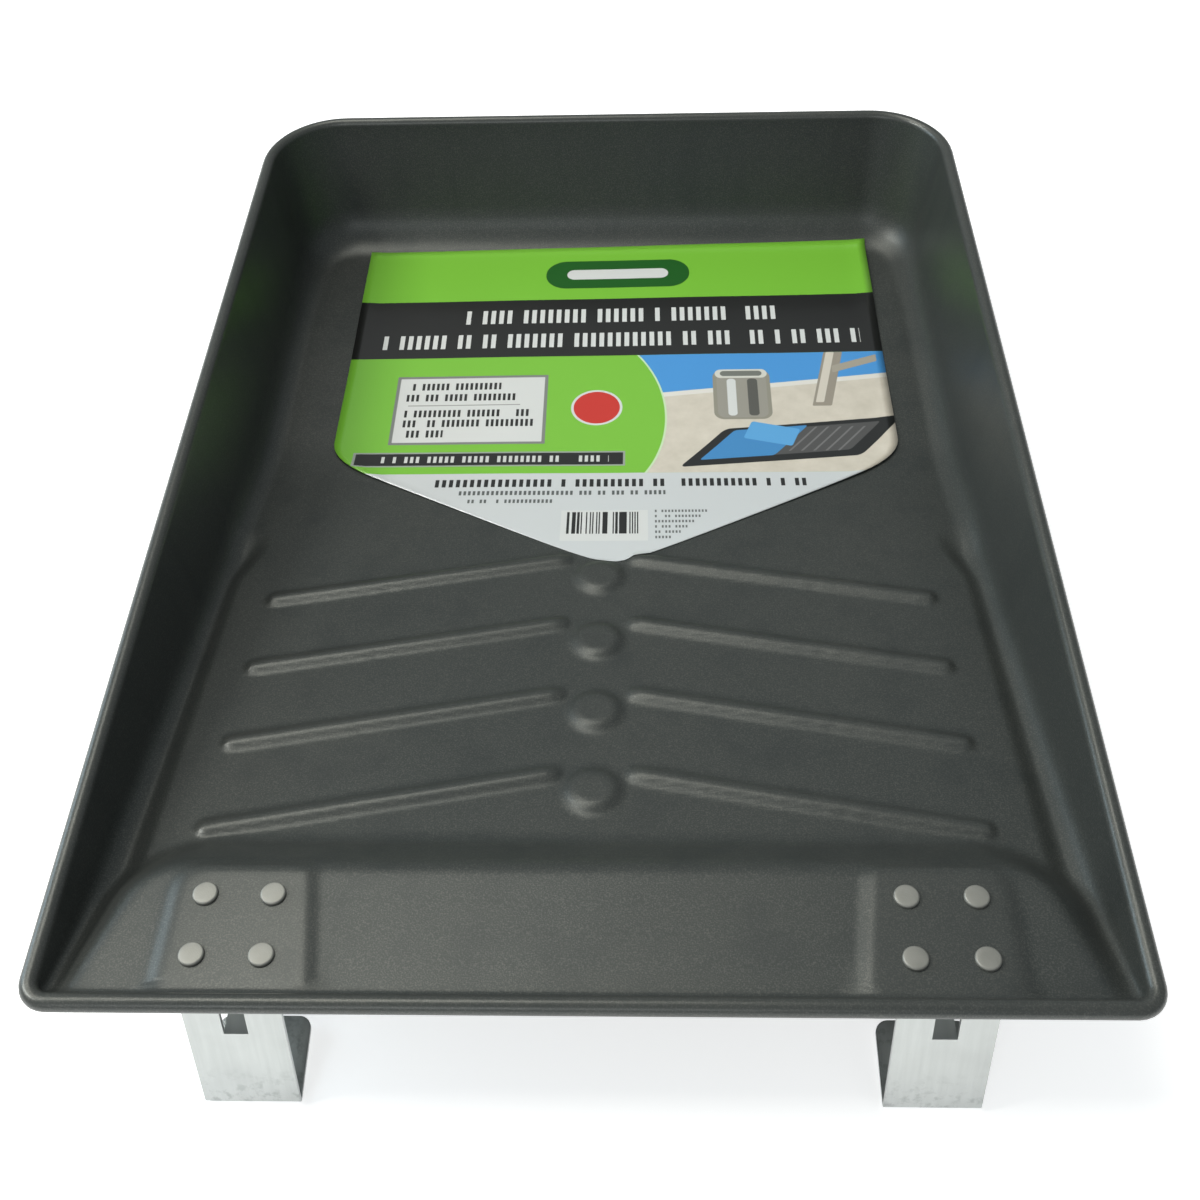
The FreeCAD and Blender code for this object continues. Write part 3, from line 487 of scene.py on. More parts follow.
def noise(tree, vector, scale, detail=2.0, roughness=0.5):
    """A cloudy noise between 0 and 1; scale is its cells in one unit of the vector."""
    node = tree.nodes.new("ShaderNodeTexNoise")
    node.inputs["Scale"].default_value = scale
    node.inputs["Detail"].default_value = detail
    node.inputs["Roughness"].default_value = roughness
    tree.links.new(vector, node.inputs["Vector"])
    return node.outputs["Fac"]


def mix_colour(tree, factor, a, b):
    """A mix of two colours; each argument is a socket or a value."""
    node = tree.nodes.new("ShaderNodeMix")
    node.data_type = "RGBA"
    colours = [socket for socket in node.inputs if socket.type == "RGBA"]
    for socket, value in zip([node.inputs["Factor"]] + colours, (factor, a, b)):
        if isinstance(value, bpy.types.NodeSocket):
            tree.links.new(value, socket)
        else:
            socket.default_value = value
    return next(socket for socket in node.outputs if socket.type == "RGBA")


def above(tree, value, threshold, steepness):
    """A mask that rises from 0 to 1 where a value passes a threshold."""
    return math_node(tree, "MULTIPLY", math_node(tree, "SUBTRACT", value, threshold), steepness, True)


def spread(tree, value, low, gain):
    """low where the value is 0, and low + gain where it is 1."""
    return math_node(tree, "ADD", math_node(tree, "MULTIPLY", value, gain), low)


# fine bright flecks and slow cloudiness, as metal coatings show; used by the pan, the legs and the rivets
flecks, flecks_in, flecks_out = group_with(
    "metal_flecks",
    [("Vector", "NodeSocketVector", None), ("Fleck Size", "NodeSocketFloat", 1.0),
     ("Cloud Size", "NodeSocketFloat", 40.0)],
    [("Flecks", "NodeSocketFloat"), ("Clouds", "NodeSocketFloat"), ("Grain", "NodeSocketFloat")],
)
fleck_scale = math_node(flecks, "DIVIDE", 1000.0, flecks_in.outputs["Fleck Size"])
fleck_noise = flecks.nodes.new("ShaderNodeTexNoise")
fleck_noise.inputs["Detail"].default_value = 1.5
flecks.links.new(flecks_in.outputs["Vector"], fleck_noise.inputs["Vector"])
flecks.links.new(fleck_scale, fleck_noise.inputs["Scale"])
fleck_mask = above(flecks, fleck_noise.outputs["Fac"], 0.46, 3.6)
cloud_scale = math_node(flecks, "DIVIDE", 1000.0, flecks_in.outputs["Cloud Size"])
cloud_noise = flecks.nodes.new("ShaderNodeTexNoise")
cloud_noise.inputs["Detail"].default_value = 3.0
flecks.links.new(flecks_in.outputs["Vector"], cloud_noise.inputs["Vector"])
flecks.links.new(cloud_scale, cloud_noise.inputs["Scale"])
flecks.links.new(fleck_mask, flecks_out.inputs["Flecks"])
flecks.links.new(cloud_noise.outputs["Fac"], flecks_out.inputs["Clouds"])
flecks.links.new(fleck_noise.outputs["Fac"], flecks_out.inputs["Grain"])


def place_flecks(tree, fleck_size, cloud_size):
    """Puts the flecks in a material, sized in millimetres; gives its coordinates and its masks."""
    coordinates = tree.nodes.new("ShaderNodeTexCoord")
    node = tree.nodes.new("ShaderNodeGroup")
    node.node_tree = flecks
    node.inputs["Fleck Size"].default_value = fleck_size
    node.inputs["Cloud Size"].default_value = cloud_size
    tree.links.new(coordinates.outputs["Object"], node.inputs["Vector"])
    return coordinates.outputs["Object"], node.outputs


def bump(tree, height, distance, strength):
    """A surface normal from a height between 0 and 1, which stands for a distance in metres."""
    node = tree.nodes.new("ShaderNodeBump")
    node.inputs["Distance"].default_value = distance
    node.inputs["Strength"].default_value = strength
    tree.links.new(height, node.inputs["Height"])
    return node.outputs["Normal"]


coating_dark, coating_light = (0.038, 0.045, 0.044, 1), (0.054, 0.059, 0.055, 1)
# the second colour on the next line is a painted highlight for the raised parts
coating_fleck, coating_painted_highlight = (0.17, 0.17, 0.155, 1), (0.13, 0.13, 0.12, 1)
draw_mark = (0.028, 0.034, 0.035, 1)
pan_steel, tree, shader = new_material("coated_steel")
place, speckle = place_flecks(tree, 0.42, 60.0)
base = mix_colour(tree, speckle["Clouds"], coating_dark, coating_light)
base = mix_colour(tree, math_node(tree, "MULTIPLY", speckle["Flecks"], 0.35), base, coating_fleck)
# faint upright draw marks on the walls, where the sheet slid into the die
drawn = tree.nodes.new("ShaderNodeMapping")
drawn.inputs["Scale"].default_value = (1.0, 1.0, 0.06)
tree.links.new(place, drawn.inputs["Vector"])
marks = above(tree, noise(tree, drawn.outputs["Vector"], 60.0, 2.5, 0.55), 0.5, 4.0)
base = mix_colour(tree, math_node(tree, "MULTIPLY", marks, 0.35), base, draw_mark)
rubbed_gloss_and_highlight = tree.nodes.new("ShaderNodeAttribute")
rubbed_gloss_and_highlight.attribute_name = "raised"
# painted highlight: the raised parts are painted a lighter grey; below, the same mask makes them glossier
base = mix_colour(tree, math_node(tree, "MULTIPLY", rubbed_gloss_and_highlight.outputs["Fac"], 0.2), base, coating_painted_highlight)
tree.links.new(base, shader.inputs["Base Color"])
shader.inputs["Metallic"].default_value = 0.35
rough = spread(tree, speckle["Clouds"], 0.34, 0.14)
rough = math_node(tree, "SUBTRACT", rough, math_node(tree, "MULTIPLY", rubbed_gloss_and_highlight.outputs["Fac"], 0.1))
tree.links.new(rough, shader.inputs["Roughness"])
tree.links.new(bump(tree, speckle["Grain"], 0.00006, 0.6), shader.inputs["Normal"])
pan_mesh.materials.append(pan_steel)

# ---------------------------------------------------------------- the legs
# Two strips of zinc-plated steel, 1.2 mm thick, each bent to a flange, a leaning plate and a foot. The
# punched edges are slightly rounded; the plating is bright, with faint streaks from rolling and scuffs.
plating_dark, plating_light = (0.42, 0.44, 0.43, 1), (0.60, 0.62, 0.61, 1)
smudge_grey, scuff_grey = (0.40, 0.415, 0.41, 1), (0.27, 0.285, 0.28, 1)
scuff_height = 16.0                         # scuffs reach this far above the floor
zinc, tree, shader = new_material("zinc_plated_strip")
place, speckle = place_flecks(tree, 0.5, 14.0)
stretch = tree.nodes.new("ShaderNodeMapping")
stretch.inputs["Scale"].default_value = (1.0, 0.06, 0.06)
tree.links.new(place, stretch.inputs["Vector"])
streaks = noise(tree, stretch.outputs["Vector"], 420.0, 3.0, 0.6)
base = mix_colour(tree, streaks, plating_dark, plating_light)
smudge = above(tree, speckle["Clouds"], 0.52, 4.0)
base = mix_colour(tree, math_node(tree, "MULTIPLY", smudge, 0.35), base, smudge_grey)
# scuffs near the foot, where the leg knocks against ladders and floors
height_over_floor = tree.nodes.new("ShaderNodeSeparateXYZ")
tree.links.new(place, height_over_floor.inputs["Vector"])
near_floor = math_node(tree, "DIVIDE", height_over_floor.outputs["Z"], scuff_height * MM)
near_floor = math_node(tree, "SUBTRACT", 1.0, near_floor, True)
scuffs = above(tree, noise(tree, place, 330.0, 4.0, 0.65), 0.5, 7.0)
scuffs = math_node(tree, "MULTIPLY", scuffs, near_floor)
base = mix_colour(tree, math_node(tree, "MULTIPLY", scuffs, 0.7), base, scuff_grey)
tree.links.new(base, shader.inputs["Base Color"])
shader.inputs["Metallic"].default_value = 0.85
rough = spread(tree, streaks, 0.3, 0.2)
tree.links.new(rough, shader.inputs["Roughness"])
tree.links.new(bump(tree, streaks, 0.00008, 0.5), shader.inputs["Normal"])

edge_bevel = 0.18 * MM
flat_angle, bevelled_angle, sharp_angle = math.radians(0.5), math.radians(40), math.radians(38)
for hand in ("left", "right"):
    node = f"{hand}_leg"
    leg_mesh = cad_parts[node].data.copy()
    leg_mesh.materials.clear()
    shape = bmesh.new()
    shape.from_mesh(leg_mesh)
    bmesh.ops.remove_doubles(shape, verts=shape.verts, dist=0.01 * MM)
    bmesh.ops.dissolve_limit(shape, angle_limit=flat_angle, verts=shape.verts, edges=shape.edges)
    sharp = [e for e in shape.edges if len(e.link_faces) == 2 and e.calc_face_angle(0) > bevelled_angle]
    bmesh.ops.bevel(
        shape, geom=sharp, offset=edge_bevel, segments=2, profile=0.5, affect="EDGES", clamp_overlap=True,
    )
    bmesh.ops.triangulate(shape, faces=[f for f in shape.faces if len(f.verts) > 4])
    shape.to_mesh(leg_mesh)
    shape.free()
    leg_mesh.shade_smooth()
    leg = new_object(f"{hand}_strip_leg", leg_mesh)
    leg_mesh.materials.append(zinc)
    leg_mesh.set_sharp_from_angle(angle=sharp_angle)
    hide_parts(node)
    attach(leg, "root")

# ---------------------------------------------------------------- the rivets
# Eight aluminium rivets, four to a leg. Each has a flat head with a rounded edge on the pad, a shank through
# the pan and the leg's flange, and a tail set flat under the flange.
rivet_dark, rivet_light = (0.22, 0.22, 0.20, 1), (0.32, 0.32, 0.295, 1)
aluminium, tree, shader = new_material("rivet_metal")
_, speckle = place_flecks(tree, 0.35, 5.0)
base = mix_colour(tree, speckle["Clouds"], rivet_dark, rivet_light)
tree.links.new(base, shader.inputs["Base Color"])
shader.inputs["Metallic"].default_value = 0.55
rough = spread(tree, speckle["Clouds"], 0.42, 0.2)
tree.links.new(rough, shader.inputs["Roughness"])
tree.links.new(bump(tree, speckle["Grain"], 0.00005, 0.6), shader.inputs["Normal"])

rivet_nodes = [
    f"{hand}_rivet_{row}_{side}"
    for hand in ("left", "right") for row in ("front", "back") for side in ("outer", "inner")
]
head_radius, head_rise, head_round, head_crown = 3.3, 1.1, 0.55, 0.05
head_clearance = 0.05                       # between the head and the pad
shank_radius, grip = 1.6, 1.82
tail_radius, tail_depth = 2.5, 1.2
round_steps = 5
rivet_sides = 32


def rivet_outline():
    """Half of the rivet's section, from the top of the head to the bottom of the tail: (radius, height)."""
    outline = [(0.0, head_rise + head_crown), (head_radius * 0.5, head_rise + head_crown * 0.6)]
    for step in range(round_steps + 1):
        angle = math.radians(90) * (1 - step / round_steps)
        outline.append((
            head_radius - head_round + head_round * math.cos(angle),
            head_rise - head_round + head_round * math.sin(angle),
        ))
    outline += [(head_radius, head_clearance), (shank_radius, head_clearance)]
    outline += [(shank_radius, -grip), (tail_radius, -grip)]
    outline += [(tail_radius, -grip - tail_depth * 0.6), (tail_radius * 0.7, -grip - tail_depth)]
    outline.append((0.0, -grip - tail_depth))
    return outline


def turned_mesh(name, outline, segments):
    """A closed mesh turned from an outline whose first and last points are on the axis, in millimetres."""
    shape = bmesh.new()
    rows = []
    for radius, height in outline:
        count = 1 if radius == 0 else segments
        rows.append([
            shape.verts.new((
                radius * MM * math.cos(2 * math.pi * k / segments),
                radius * MM * math.sin(2 * math.pi * k / segments), height * MM,
            ))
            for k in range(count)
        ])
    for upper, lower in zip(rows, rows[1:]):
        for k in range(segments):
            ring = [upper[k % len(upper)], lower[k % len(lower)]]
            ring += [lower[(k + 1) % len(lower)], upper[(k + 1) % len(upper)]]
            corners = list(dict.fromkeys(ring))
            if len(corners) > 2:
                shape.faces.new(corners)
    bmesh.ops.recalc_face_normals(shape, faces=shape.faces)
    mesh = bpy.data.meshes.new(name)
    shape.to_mesh(mesh)
    shape.free()
    mesh.shade_smooth()
    return mesh


one_rivet = bpy.data.objects.new("one_rivet", turned_mesh("one_rivet", rivet_outline(), rivet_sides))
pad_tilt = math.atan(shelf_fall)
rivet_points = []
for node in rivet_nodes:
    low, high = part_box(node)
    middle = (low + high) / 2
    # the box's middle is between the head's top and the tail's end, along the tilted rivet
    drop = (head_rise - grip - tail_depth) / 2 * MM
    rivet_points.append((
        middle.x, middle.y - drop * math.sin(pad_tilt), middle.z - drop * math.cos(pad_tilt),
    ))
points_mesh = bpy.data.meshes.new("rivet_points")
points_mesh.from_pydata(rivet_points, [], [])
rivets = new_object("rivets", points_mesh)


def rivet_tree():
    """Puts a rivet on every point, each turned a little differently about its own axis."""
    made = bpy.data.node_groups.new("rivets_on_points", "GeometryNodeTree")
    made.interface.new_socket("Points", in_out="INPUT", socket_type="NodeSocketGeometry")
    rivet = made.interface.new_socket("Rivet", in_out="INPUT", socket_type="NodeSocketObject")
    tilt = made.interface.new_socket("Tilt", in_out="INPUT", socket_type="NodeSocketFloat")
    finish = made.interface.new_socket("Finish", in_out="INPUT", socket_type="NodeSocketMaterial")
    made.interface.new_socket("Rivets", in_out="OUTPUT", socket_type="NodeSocketGeometry")
    source = made.nodes.new("NodeGroupInput")
    result = made.nodes.new("NodeGroupOutput")
    shape = made.nodes.new("GeometryNodeObjectInfo")
    made.links.new(source.outputs["Rivet"], shape.inputs["Object"])
    turn = made.nodes.new("FunctionNodeRandomValue")
    turn.inputs["Seed"].default_value = 3
    turn.inputs[2].default_value = 0.0
    turn.inputs[3].default_value = 2 * math.pi
    angles = made.nodes.new("ShaderNodeCombineXYZ")
    made.links.new(source.outputs["Tilt"], angles.inputs["X"])
    spin = made.nodes.new("ShaderNodeCombineXYZ")
    made.links.new(turn.outputs[1], spin.inputs["Z"])
    place_on = made.nodes.new("GeometryNodeInstanceOnPoints")
    made.links.new(source.outputs["Points"], place_on.inputs["Points"])
    made.links.new(shape.outputs["Geometry"], place_on.inputs["Instance"])
    made.links.new(angles.outputs["Vector"], place_on.inputs["Rotation"])
    spun = made.nodes.new("GeometryNodeRotateInstances")
    made.links.new(place_on.outputs["Instances"], spun.inputs["Instances"])
    made.links.new(spin.outputs["Vector"], spun.inputs["Rotation"])
    real = made.nodes.new("GeometryNodeRealizeInstances")
    made.links.new(spun.outputs["Instances"], real.inputs["Geometry"])
    painted = made.nodes.new("GeometryNodeSetMaterial")
    made.links.new(real.outputs["Geometry"], painted.inputs["Geometry"])
    made.links.new(source.outputs["Finish"], painted.inputs["Material"])
    made.links.new(painted.outputs["Geometry"], result.inputs["Rivets"])
    return made, rivet.identifier, tilt.identifier, finish.identifier


nodes_tree, rivet_id, tilt_id, finish_id = rivet_tree()
modifier = rivets.modifiers.new("rivets", "NODES")
modifier.node_group = nodes_tree
modifier[rivet_id] = one_rivet
modifier[tilt_id] = -pad_tilt
modifier[finish_id] = aluminium
graph = bpy.context.evaluated_depsgraph_get()
rivet_mesh = bpy.data.meshes.new_from_object(rivets.evaluated_get(graph))
rivets.modifiers.clear()
rivets.data = rivet_mesh
bpy.data.objects.remove(one_rivet)
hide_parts(*rivet_nodes)
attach(rivets, "root")

# ---------------------------------------------------------------- the label
# A sheet of glossy printed paper stuck on the well floor and the foot of the ramp, pointed at its front.
# Its print is plain blocks, bars and a simple picture of a tray and a tin: there is no lettering on it.
label_middle, label_half, label_tip, label_back = 4.0, 107.0, 178.2, 367.6
tip_round, tip_slope, shoulder_round = 9.0, 0.598, 16.0
label_skew, skew_start = 1.9, 200.0         # the sheet was stuck on a little crooked
paper_gauge, paper_clearance = 0.18, 0.25   # the sheet, and how far its face lies over the steel
curl_height, curl_start, curl_wave = 0.35, 0.93, 17.0  # the long edges curl up here and there
ripple_height, ripple_wave = 0.12, 23.0
print_start = 180.0                         # where the print's own coordinates begin
print_unit = 100.0                          # millimetres in one unit of the print's map


def label_half_width(y):
    """Half the label's width: straight sides, rounded shoulders and a rounded point."""
    from_tip = y - label_tip
    slanted = np.sqrt(np.maximum(from_tip * (from_tip + tip_round), 0)) / tip_slope
    return smooth_min(slanted, np.full(np.shape(y), label_half), shoulder_round)


def resting_height(x, y):
    """The height of the tray's inner face over a point, with the fillets along its walls."""
    low = pressed_height(x, y) - 0.01
    high = low + 30.0
    for _ in range(30):
        middle = (low + high) / 2
        clear = wall_gap(x, y, middle) < 0
        high = np.where(clear, middle, high)
        low = np.where(clear, low, middle)
    return high


# rows as shares of the label's length, crowded at the point
tip_rows = [0.0004, 0.0016, 0.0036, 0.0064, 0.01, 0.016, 0.024, 0.034, 0.046]
rows = np.concatenate([tip_rows, np.linspace(0.06, 1.0, 70)])
columns = np.linspace(-1, 1, 61)
v, u = np.meshgrid(rows, columns, indexing="ij")
y = label_tip + v * (label_back - label_tip)
half = label_half_width(y)
x = label_middle + u * half
y = y + label_skew * (x - label_middle) / label_half * smooth_step(skew_start, label_back, y)
lift = curl_height * smooth_step(curl_start, 1.0, np.abs(u)) * (1 + np.sin(y / curl_wave))
lift = lift + ripple_height * np.sin(x / ripple_wave) ** 2
top = np.stack([x, y, resting_height(x, y) + paper_clearance + lift], axis=-1)
count_v, count_u = v.shape
top_points = top.reshape(-1, 3)
paper_quads = []
for i in range(count_v - 1):
    row = i * count_u + np.arange(count_u - 1)
    paper_quads.append(np.column_stack([row, row + 1, row + count_u + 1, row + count_u]))
paper_quads = np.concatenate(paper_quads)
under = top_points - np.array([0, 0, paper_gauge])
border = [i for i in range(count_u)] + [i * count_u + count_u - 1 for i in range(1, count_v)]
border += [(count_v - 1) * count_u + i for i in range(count_u - 2, -1, -1)]
border += [i * count_u for i in range(count_v - 2, 0, -1)]
border = np.array(border)
shift = len(top_points)
rim_quads = np.column_stack([border, border + shift, np.roll(border + shift, -1), np.roll(border, -1)])
label_mesh = mesh_from(
    "label", np.concatenate([top_points, under]),
    np.concatenate([paper_quads, paper_quads[:, ::-1] + shift, rim_quads]),
)
# the print's own coordinates: millimetres from the label's middle line and from print_start
print_y = v.ravel() * (label_back - label_tip) + label_tip - print_start
flat_xy = np.column_stack([top_points[:, 0] - label_middle, print_y])
flat_xy = np.concatenate([flat_xy, flat_xy])
corner_vertex = np.zeros(len(label_mesh.loops), int)
label_mesh.loops.foreach_get("vertex_index", corner_vertex)
uv = label_mesh.uv_layers.new(name="print")
uv.data.foreach_set("uv", (flat_xy[corner_vertex] / print_unit).ravel())
label = new_object("paper_label", label_mesh)
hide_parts("product_label")
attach(label, "root")

# one block of the print: a rectangle with rounded corners, which can lean and turn
block_group, block_in, block_out = group_with(
    "print_block",
    [("Print", "NodeSocketVector", None),
     ("Centre X", "NodeSocketFloat", 0.0), ("Centre Y", "NodeSocketFloat", 0.0),
     ("Half Width", "NodeSocketFloat", 10.0), ("Half Height", "NodeSocketFloat", 10.0),
     ("Corner", "NodeSocketFloat", 0.5), ("Rise", "NodeSocketFloat", 0.0), ("Lean", "NodeSocketFloat", 0.0)],
    [("Mask", "NodeSocketFloat")],
)
split = block_group.nodes.new("ShaderNodeSeparateXYZ")
block_group.links.new(block_in.outputs["Print"], split.inputs["Vector"])
from_x = math_node(block_group, "SUBTRACT", split.outputs["X"], block_in.outputs["Centre X"])
from_y = math_node(block_group, "SUBTRACT", split.outputs["Y"], block_in.outputs["Centre Y"])
level_y = math_node(
    block_group, "SUBTRACT", from_y, math_node(block_group, "MULTIPLY", from_x, block_in.outputs["Rise"]),
)
upright_x = math_node(
    block_group, "SUBTRACT", from_x, math_node(block_group, "MULTIPLY", from_y, block_in.outputs["Lean"]),
)
past = []
for offset, half_size in ((upright_x, "Half Width"), (level_y, "Half Height")):
    inset = math_node(block_group, "SUBTRACT", block_in.outputs[half_size], block_in.outputs["Corner"])
    beyond = math_node(block_group, "SUBTRACT", math_node(block_group, "ABSOLUTE", offset), inset)
    past.append(math_node(block_group, "MAXIMUM", beyond, 0.0))
squares = [math_node(block_group, "MULTIPLY", value, value) for value in past]
reach = math_node(block_group, "SQRT", math_node(block_group, "ADD", squares[0], squares[1]))
inside = math_node(block_group, "SUBTRACT", block_in.outputs["Corner"], reach)
ink_edge = 0.2                              # the width over which the ink's edge fades
soft = math_node(block_group, "DIVIDE", inside, ink_edge)
soft = math_node(block_group, "ADD", soft, 0.5, True)
block_group.links.new(soft, block_out.inputs["Mask"])

# one line of small upright strokes in word-like runs, standing for a line of print without any letters
strokes_group, strokes_in, strokes_out = group_with(
    "print_strokes",
    [("Print", "NodeSocketVector", None),
     ("Start", "NodeSocketFloat", 0.0), ("Middle", "NodeSocketFloat", 0.0),
     ("Pitch", "NodeSocketFloat", 2.0), ("Half Height", "NodeSocketFloat", 2.0)],
    [("Mask", "NodeSocketFloat")],
)
split = strokes_group.nodes.new("ShaderNodeSeparateXYZ")
strokes_group.links.new(strokes_in.outputs["Print"], split.inputs["Vector"])
along = math_node(strokes_group, "SUBTRACT", split.outputs["X"], strokes_in.outputs["Start"])
along = math_node(strokes_group, "DIVIDE", along, strokes_in.outputs["Pitch"])
cell = math_node(strokes_group, "FLOOR", along)
chance = strokes_group.nodes.new("ShaderNodeTexWhiteNoise")
chance.noise_dimensions = "2D"
cell_place = strokes_group.nodes.new("ShaderNodeCombineXYZ")
strokes_group.links.new(cell, cell_place.inputs["X"])
strokes_group.links.new(strokes_in.outputs["Middle"], cell_place.inputs["Y"])
strokes_group.links.new(cell_place.outputs["Vector"], chance.inputs["Vector"])
gap_share, stroke_share = 0.16, 0.56        # cells left empty between words, and the inked part of a cell
printed = math_node(strokes_group, "GREATER_THAN", chance.outputs["Value"], gap_share)
stroke = math_node(strokes_group, "LESS_THAN", math_node(strokes_group, "FRACT", along), stroke_share)
off_line = math_node(strokes_group, "SUBTRACT", split.outputs["Y"], strokes_in.outputs["Middle"])
off_line = math_node(strokes_group, "ABSOLUTE", off_line)
on_line = math_node(strokes_group, "LESS_THAN", off_line, strokes_in.outputs["Half Height"])
mask = math_node(strokes_group, "MULTIPLY", math_node(strokes_group, "MULTIPLY", printed, stroke), on_line)
strokes_group.links.new(mask, strokes_out.inputs["Mask"])

paper_print, tree, shader = new_material("printed_paper")
uv_map = tree.nodes.new("ShaderNodeUVMap")
uv_map.uv_map = "print"
to_mm = tree.nodes.new("ShaderNodeVectorMath")
to_mm.operation = "SCALE"
to_mm.inputs["Scale"].default_value = print_unit
tree.links.new(uv_map.outputs["UV"], to_mm.inputs[0])
print_place = to_mm.outputs["Vector"]


def block(left, right, bottom, top, corner=0.4, rise=0.0, lean=0.0):
    """A mask for one block of the print, in millimetres; level sides can rise and upright ones lean."""
    node = tree.nodes.new("ShaderNodeGroup")
    node.node_tree = block_group
    tree.links.new(print_place, node.inputs["Print"])
    values = {
        "Centre X": (left + right) / 2, "Centre Y": (bottom + top) / 2,
        "Half Width": (right - left) / 2, "Half Height": (top - bottom) / 2,
        "Corner": corner, "Rise": rise, "Lean": lean,
    }
    for name, value in values.items():
        node.inputs[name].default_value = value
    return node.outputs["Mask"]


def disc(centre_x, centre_y, radius):
    """A mask for a round patch of the print."""
    return block(centre_x - radius, centre_x + radius, centre_y - radius, centre_y + radius, radius)


def strokes(left, right, middle, height, pitch):
    """A mask for a line of strokes between left and right."""
    node = tree.nodes.new("ShaderNodeGroup")
    node.node_tree = strokes_group
    tree.links.new(print_place, node.inputs["Print"])
    values = {"Start": left, "Middle": middle, "Pitch": pitch, "Half Height": height / 2}
    for name, value in values.items():
        node.inputs[name].default_value = value
    line = block(left, right, middle - height / 2, middle + height / 2, 0.1)
    return math_node(tree, "MULTIPLY", node.outputs["Mask"], line)


def both(a, b):
    """Where two masks overlap."""
    return math_node(tree, "MULTIPLY", a, b)


def paint(ground, *layers):
    """Lays each layer, a mask and its ink, over the ground in turn."""
    for mask, ink in layers:
        ground = mix_colour(tree, mask, ground, ink)
    return ground


leaf_green = (0.185, 0.50, 0.04, 1)
ink_black = (0.011, 0.0115, 0.011, 1)
paper_white = (0.64, 0.66, 0.65, 1)
silver_grey = (0.58, 0.61, 0.62, 1)
band_bottom, band_top = 117, 153.2          # the black band across the sheet
panel_bottom = 49.5                         # the green panel runs from here up to the band
far_left, far_right, far_back = -200, 200, 400
round_x, round_y, round_radius = -46, 81, 65.5  # the green panel's round edge

# the ground: silver tip and green panel
colour = paint(silver_grey, (block(far_left, far_right, panel_bottom, far_back), leaf_green))

# the picture to the right of the round edge: a blue wall with a pale skirting, over a cream dust sheet
floor_cream, cream_shade = (0.72, 0.67, 0.58, 1), (0.50, 0.46, 0.38, 1)
skirting, wall_blue = (0.70, 0.69, 0.64, 1), (0.06, 0.29, 0.66, 1)
wall_rise = 0.11
picture = mix_colour(tree, noise(tree, print_place, 0.12, 3.0, 0.6), floor_cream, cream_shade)
picture = paint(
    picture,
    (block(-20, 220, 101.0, 180, 0.2, wall_rise), skirting),
    (block(-20, 220, 103.5, 180, 0.2, wall_rise), wall_blue),
)
# a tin standing on the floor: its outline, side, two reflections, rim and mouth
picture = paint(
    picture,
    (block(38.5, 61, 79, 107, 4.0), (0.27, 0.26, 0.21, 1)),
    (block(40, 59.5, 80, 104.5, 3.0), (0.30, 0.29, 0.25, 1)),
    (block(44, 47.5, 81, 102, 1.5), paper_white),
    (block(52, 56, 81, 102, 1.5), (0.09, 0.09, 0.08, 1)),
    (block(39.5, 60.0, 102.5, 107.5, 2.4), (0.62, 0.62, 0.56, 1)),
    (block(41.5, 58.0, 103.6, 106.6, 1.5), (0.16, 0.17, 0.15, 1)),
)
# the foot of a stepladder: its rail, the light on the rail, and a brace
rail_lean, brace_rise = 0.22, 0.35
picture = paint(
    picture,
    (block(80, 87.5, 86, 117, 0.6, 0, rail_lean), (0.30, 0.27, 0.22, 1)),
    (block(81.2, 84.4, 88, 117, 0.5, 0, rail_lean), (0.62, 0.58, 0.50, 1)),
    (block(86, 104, 108, 112, 0.5, brace_rise), (0.36, 0.33, 0.27, 1)),
)
# a small tray seen from its side: body, ramp and ribs, then paint in its well and the sheet lifted off it
tray_view = (0.09, 0.85)
rib_marks = [
    (block(left, left + 0.9, 62, 74, 0.3, *tray_view), (0.16, 0.16, 0.16, 1))
    for left in (66.5 + 4.6 * rib for rib in range(6))
]
picture = paint(
    picture,
    (block(36, 99, 56.5, 76, 2.0, *tray_view), (0.012, 0.013, 0.013, 1)),
    (block(63, 94, 61, 75, 1.0, *tray_view), (0.075, 0.075, 0.075, 1)),
    *rib_marks,
    (block(40, 66, 58.5, 73.5, 1.0, *tray_view), (0.05, 0.24, 0.52, 1)),
    (block(50, 70, 66, 76, 1.0, -0.25, 0.4), (0.10, 0.36, 0.68, 1)),
)
round_edge = disc(round_x, round_y, round_radius)
beyond_edge = math_node(tree, "SUBTRACT", 1.0, round_edge)
colour = paint(colour, (both(beyond_edge, block(0, far_right, panel_bottom, band_bottom)), picture))
# a pale line along the round edge
edge_line = math_node(tree, "SUBTRACT", disc(round_x, round_y, round_radius + 0.7), round_edge)
edge_line = both(edge_line, block(0, 60, panel_bottom, band_bottom))
colour = paint(colour, (edge_line, (0.55, 0.75, 0.45, 1)))

# the black band with two lines of white strokes, and a green bar with a white core above it
colour = paint(
    colour,
    (block(far_left, far_right, band_bottom, band_top, 0.1), ink_black),
    (strokes(-62, 66, 142.3, 8.6, 3.4), paper_white),
    (strokes(-95, 99, 127.0, 8.6, 3.4), paper_white),
    (block(-30, 31, 160.5, 179, 9.0), (0.01, 0.10, 0.012, 1)),
    (block(-21, 22, 166.5, 173, 3.2), paper_white),
)
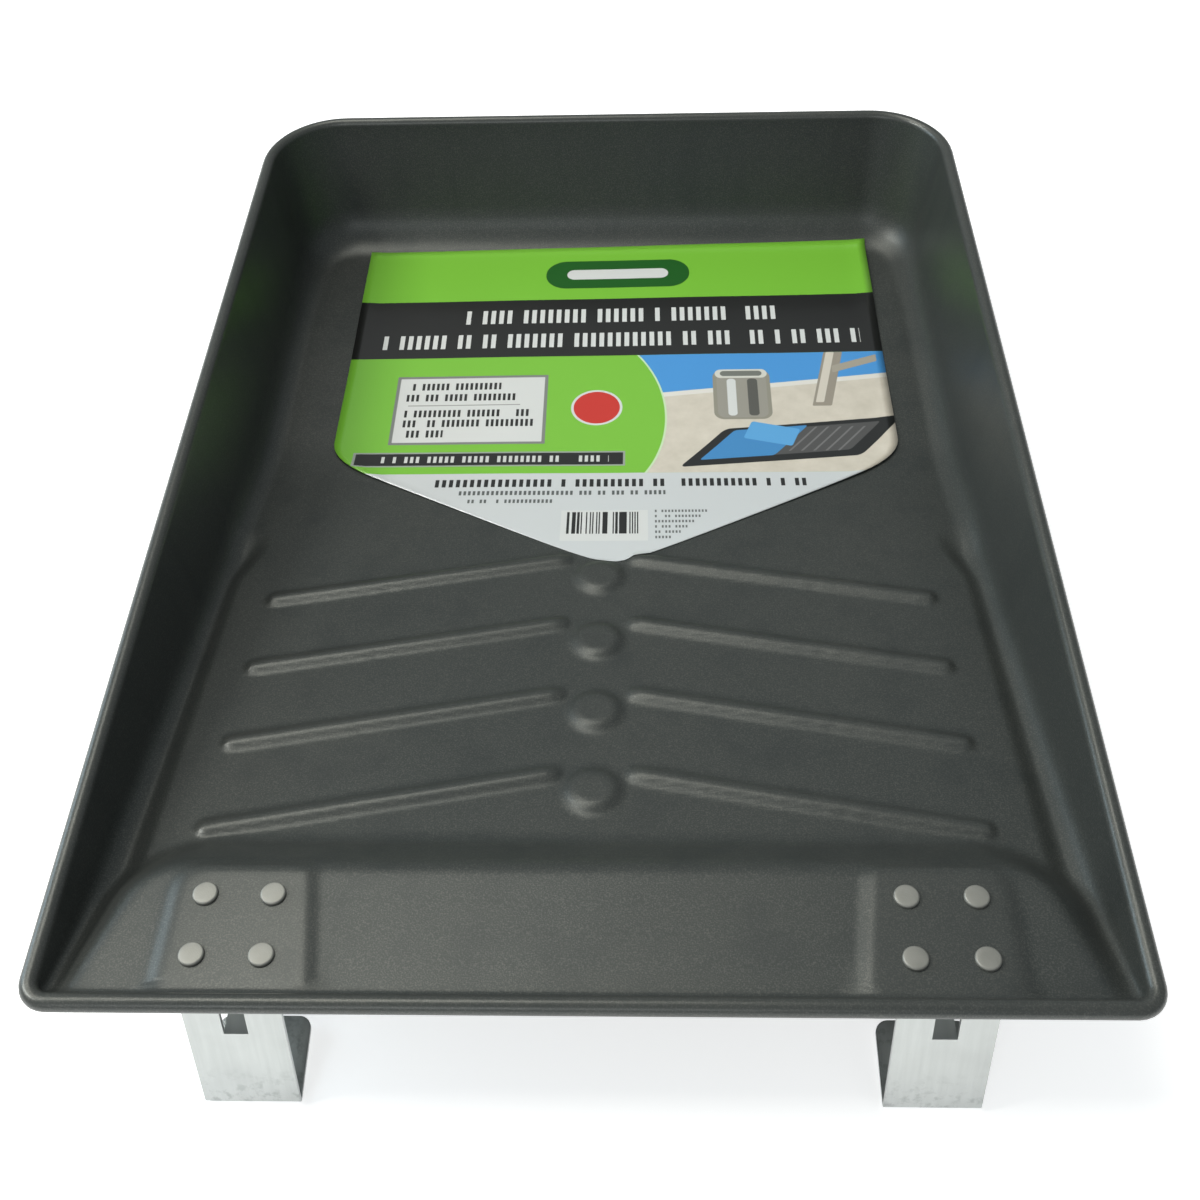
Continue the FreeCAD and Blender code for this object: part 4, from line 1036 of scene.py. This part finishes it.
# the white box with its grey frame, its lines of strokes and a rule between them
box_lines = ((-45, 99.6), (-38, 93.2), (-33, 84.0), (-30, 78.4), (-66, 72.6))
colour = paint(
    colour,
    (block(-86.5, -26.5, 66.5, 105.8, 0.3), (0.20, 0.21, 0.20, 1)),
    (block(-85.2, -27.8, 67.8, 104.5, 0.3), paper_white),
    *[(strokes(-82, right, middle, 4.0, 1.9), ink_black) for right, middle in box_lines],
    (block(-81, -37, 88.4, 88.9, 0.1), (0.30, 0.30, 0.30, 1)),
)
# a plain red dot with a white edge, and the black strip under it
colour = paint(
    colour,
    (disc(-7, 86.5, 10), paper_white),
    (disc(-7, 86.5, 9), (0.55, 0.03, 0.02, 1)),
    (block(-99, 4.2, 53.8, 62.2, 0.3), (0.30, 0.34, 0.30, 1)),
    (block(-98, 3.4, 54.6, 61.4, 0.3), ink_black),
    (strokes(-88, -2, 58.0, 3.6, 2.2), (0.60, 0.62, 0.60, 1)),
)
# the lines of strokes on the silver tip, and a white patch for the bars
small_ink, smallest_ink = (0.09, 0.10, 0.10, 1), (0.12, 0.13, 0.13, 1)
colour = paint(
    colour,
    (strokes(-66, 73, 43.6, 4.6, 2.6), ink_black),
    (strokes(-60, 19, 37.6, 2.6, 1.7), small_ink),
    (strokes(-53, -22, 32.6, 2.2, 1.5), small_ink),
    *[(strokes(15, 34 - 2.5 * line, 26.4 - 3.0 * line, 1.5, 1.2), smallest_ink) for line in range(6)],
    (block(-18.5, 12.5, 9.5, 27, 0.2), paper_white),
)
bars_per_mm = 2.2
bars = tree.nodes.new("ShaderNodeTexWhiteNoise")
bars.noise_dimensions = "1D"
print_split = tree.nodes.new("ShaderNodeSeparateXYZ")
tree.links.new(print_place, print_split.inputs["Vector"])
bar_cell = math_node(tree, "FLOOR", math_node(tree, "MULTIPLY", print_split.outputs["X"], bars_per_mm))
tree.links.new(bar_cell, bars.inputs["W"])
bar_mask = math_node(tree, "GREATER_THAN", bars.outputs["Value"], 0.5)
colour = paint(colour, (both(bar_mask, block(-16.5, 10.5, 13.5, 26, 0.1)), ink_black))
tree.links.new(colour, shader.inputs["Base Color"])
shader.inputs["Roughness"].default_value = 0.34
shader.inputs["Coat Weight"].default_value = 0.35
shader.inputs["Coat Roughness"].default_value = 0.12
waves = noise(tree, print_place, 0.035, 2.0, 0.5)
tree.links.new(bump(tree, waves, 0.0006, 0.5), shader.inputs["Normal"])
label_mesh.materials.append(paper_print)
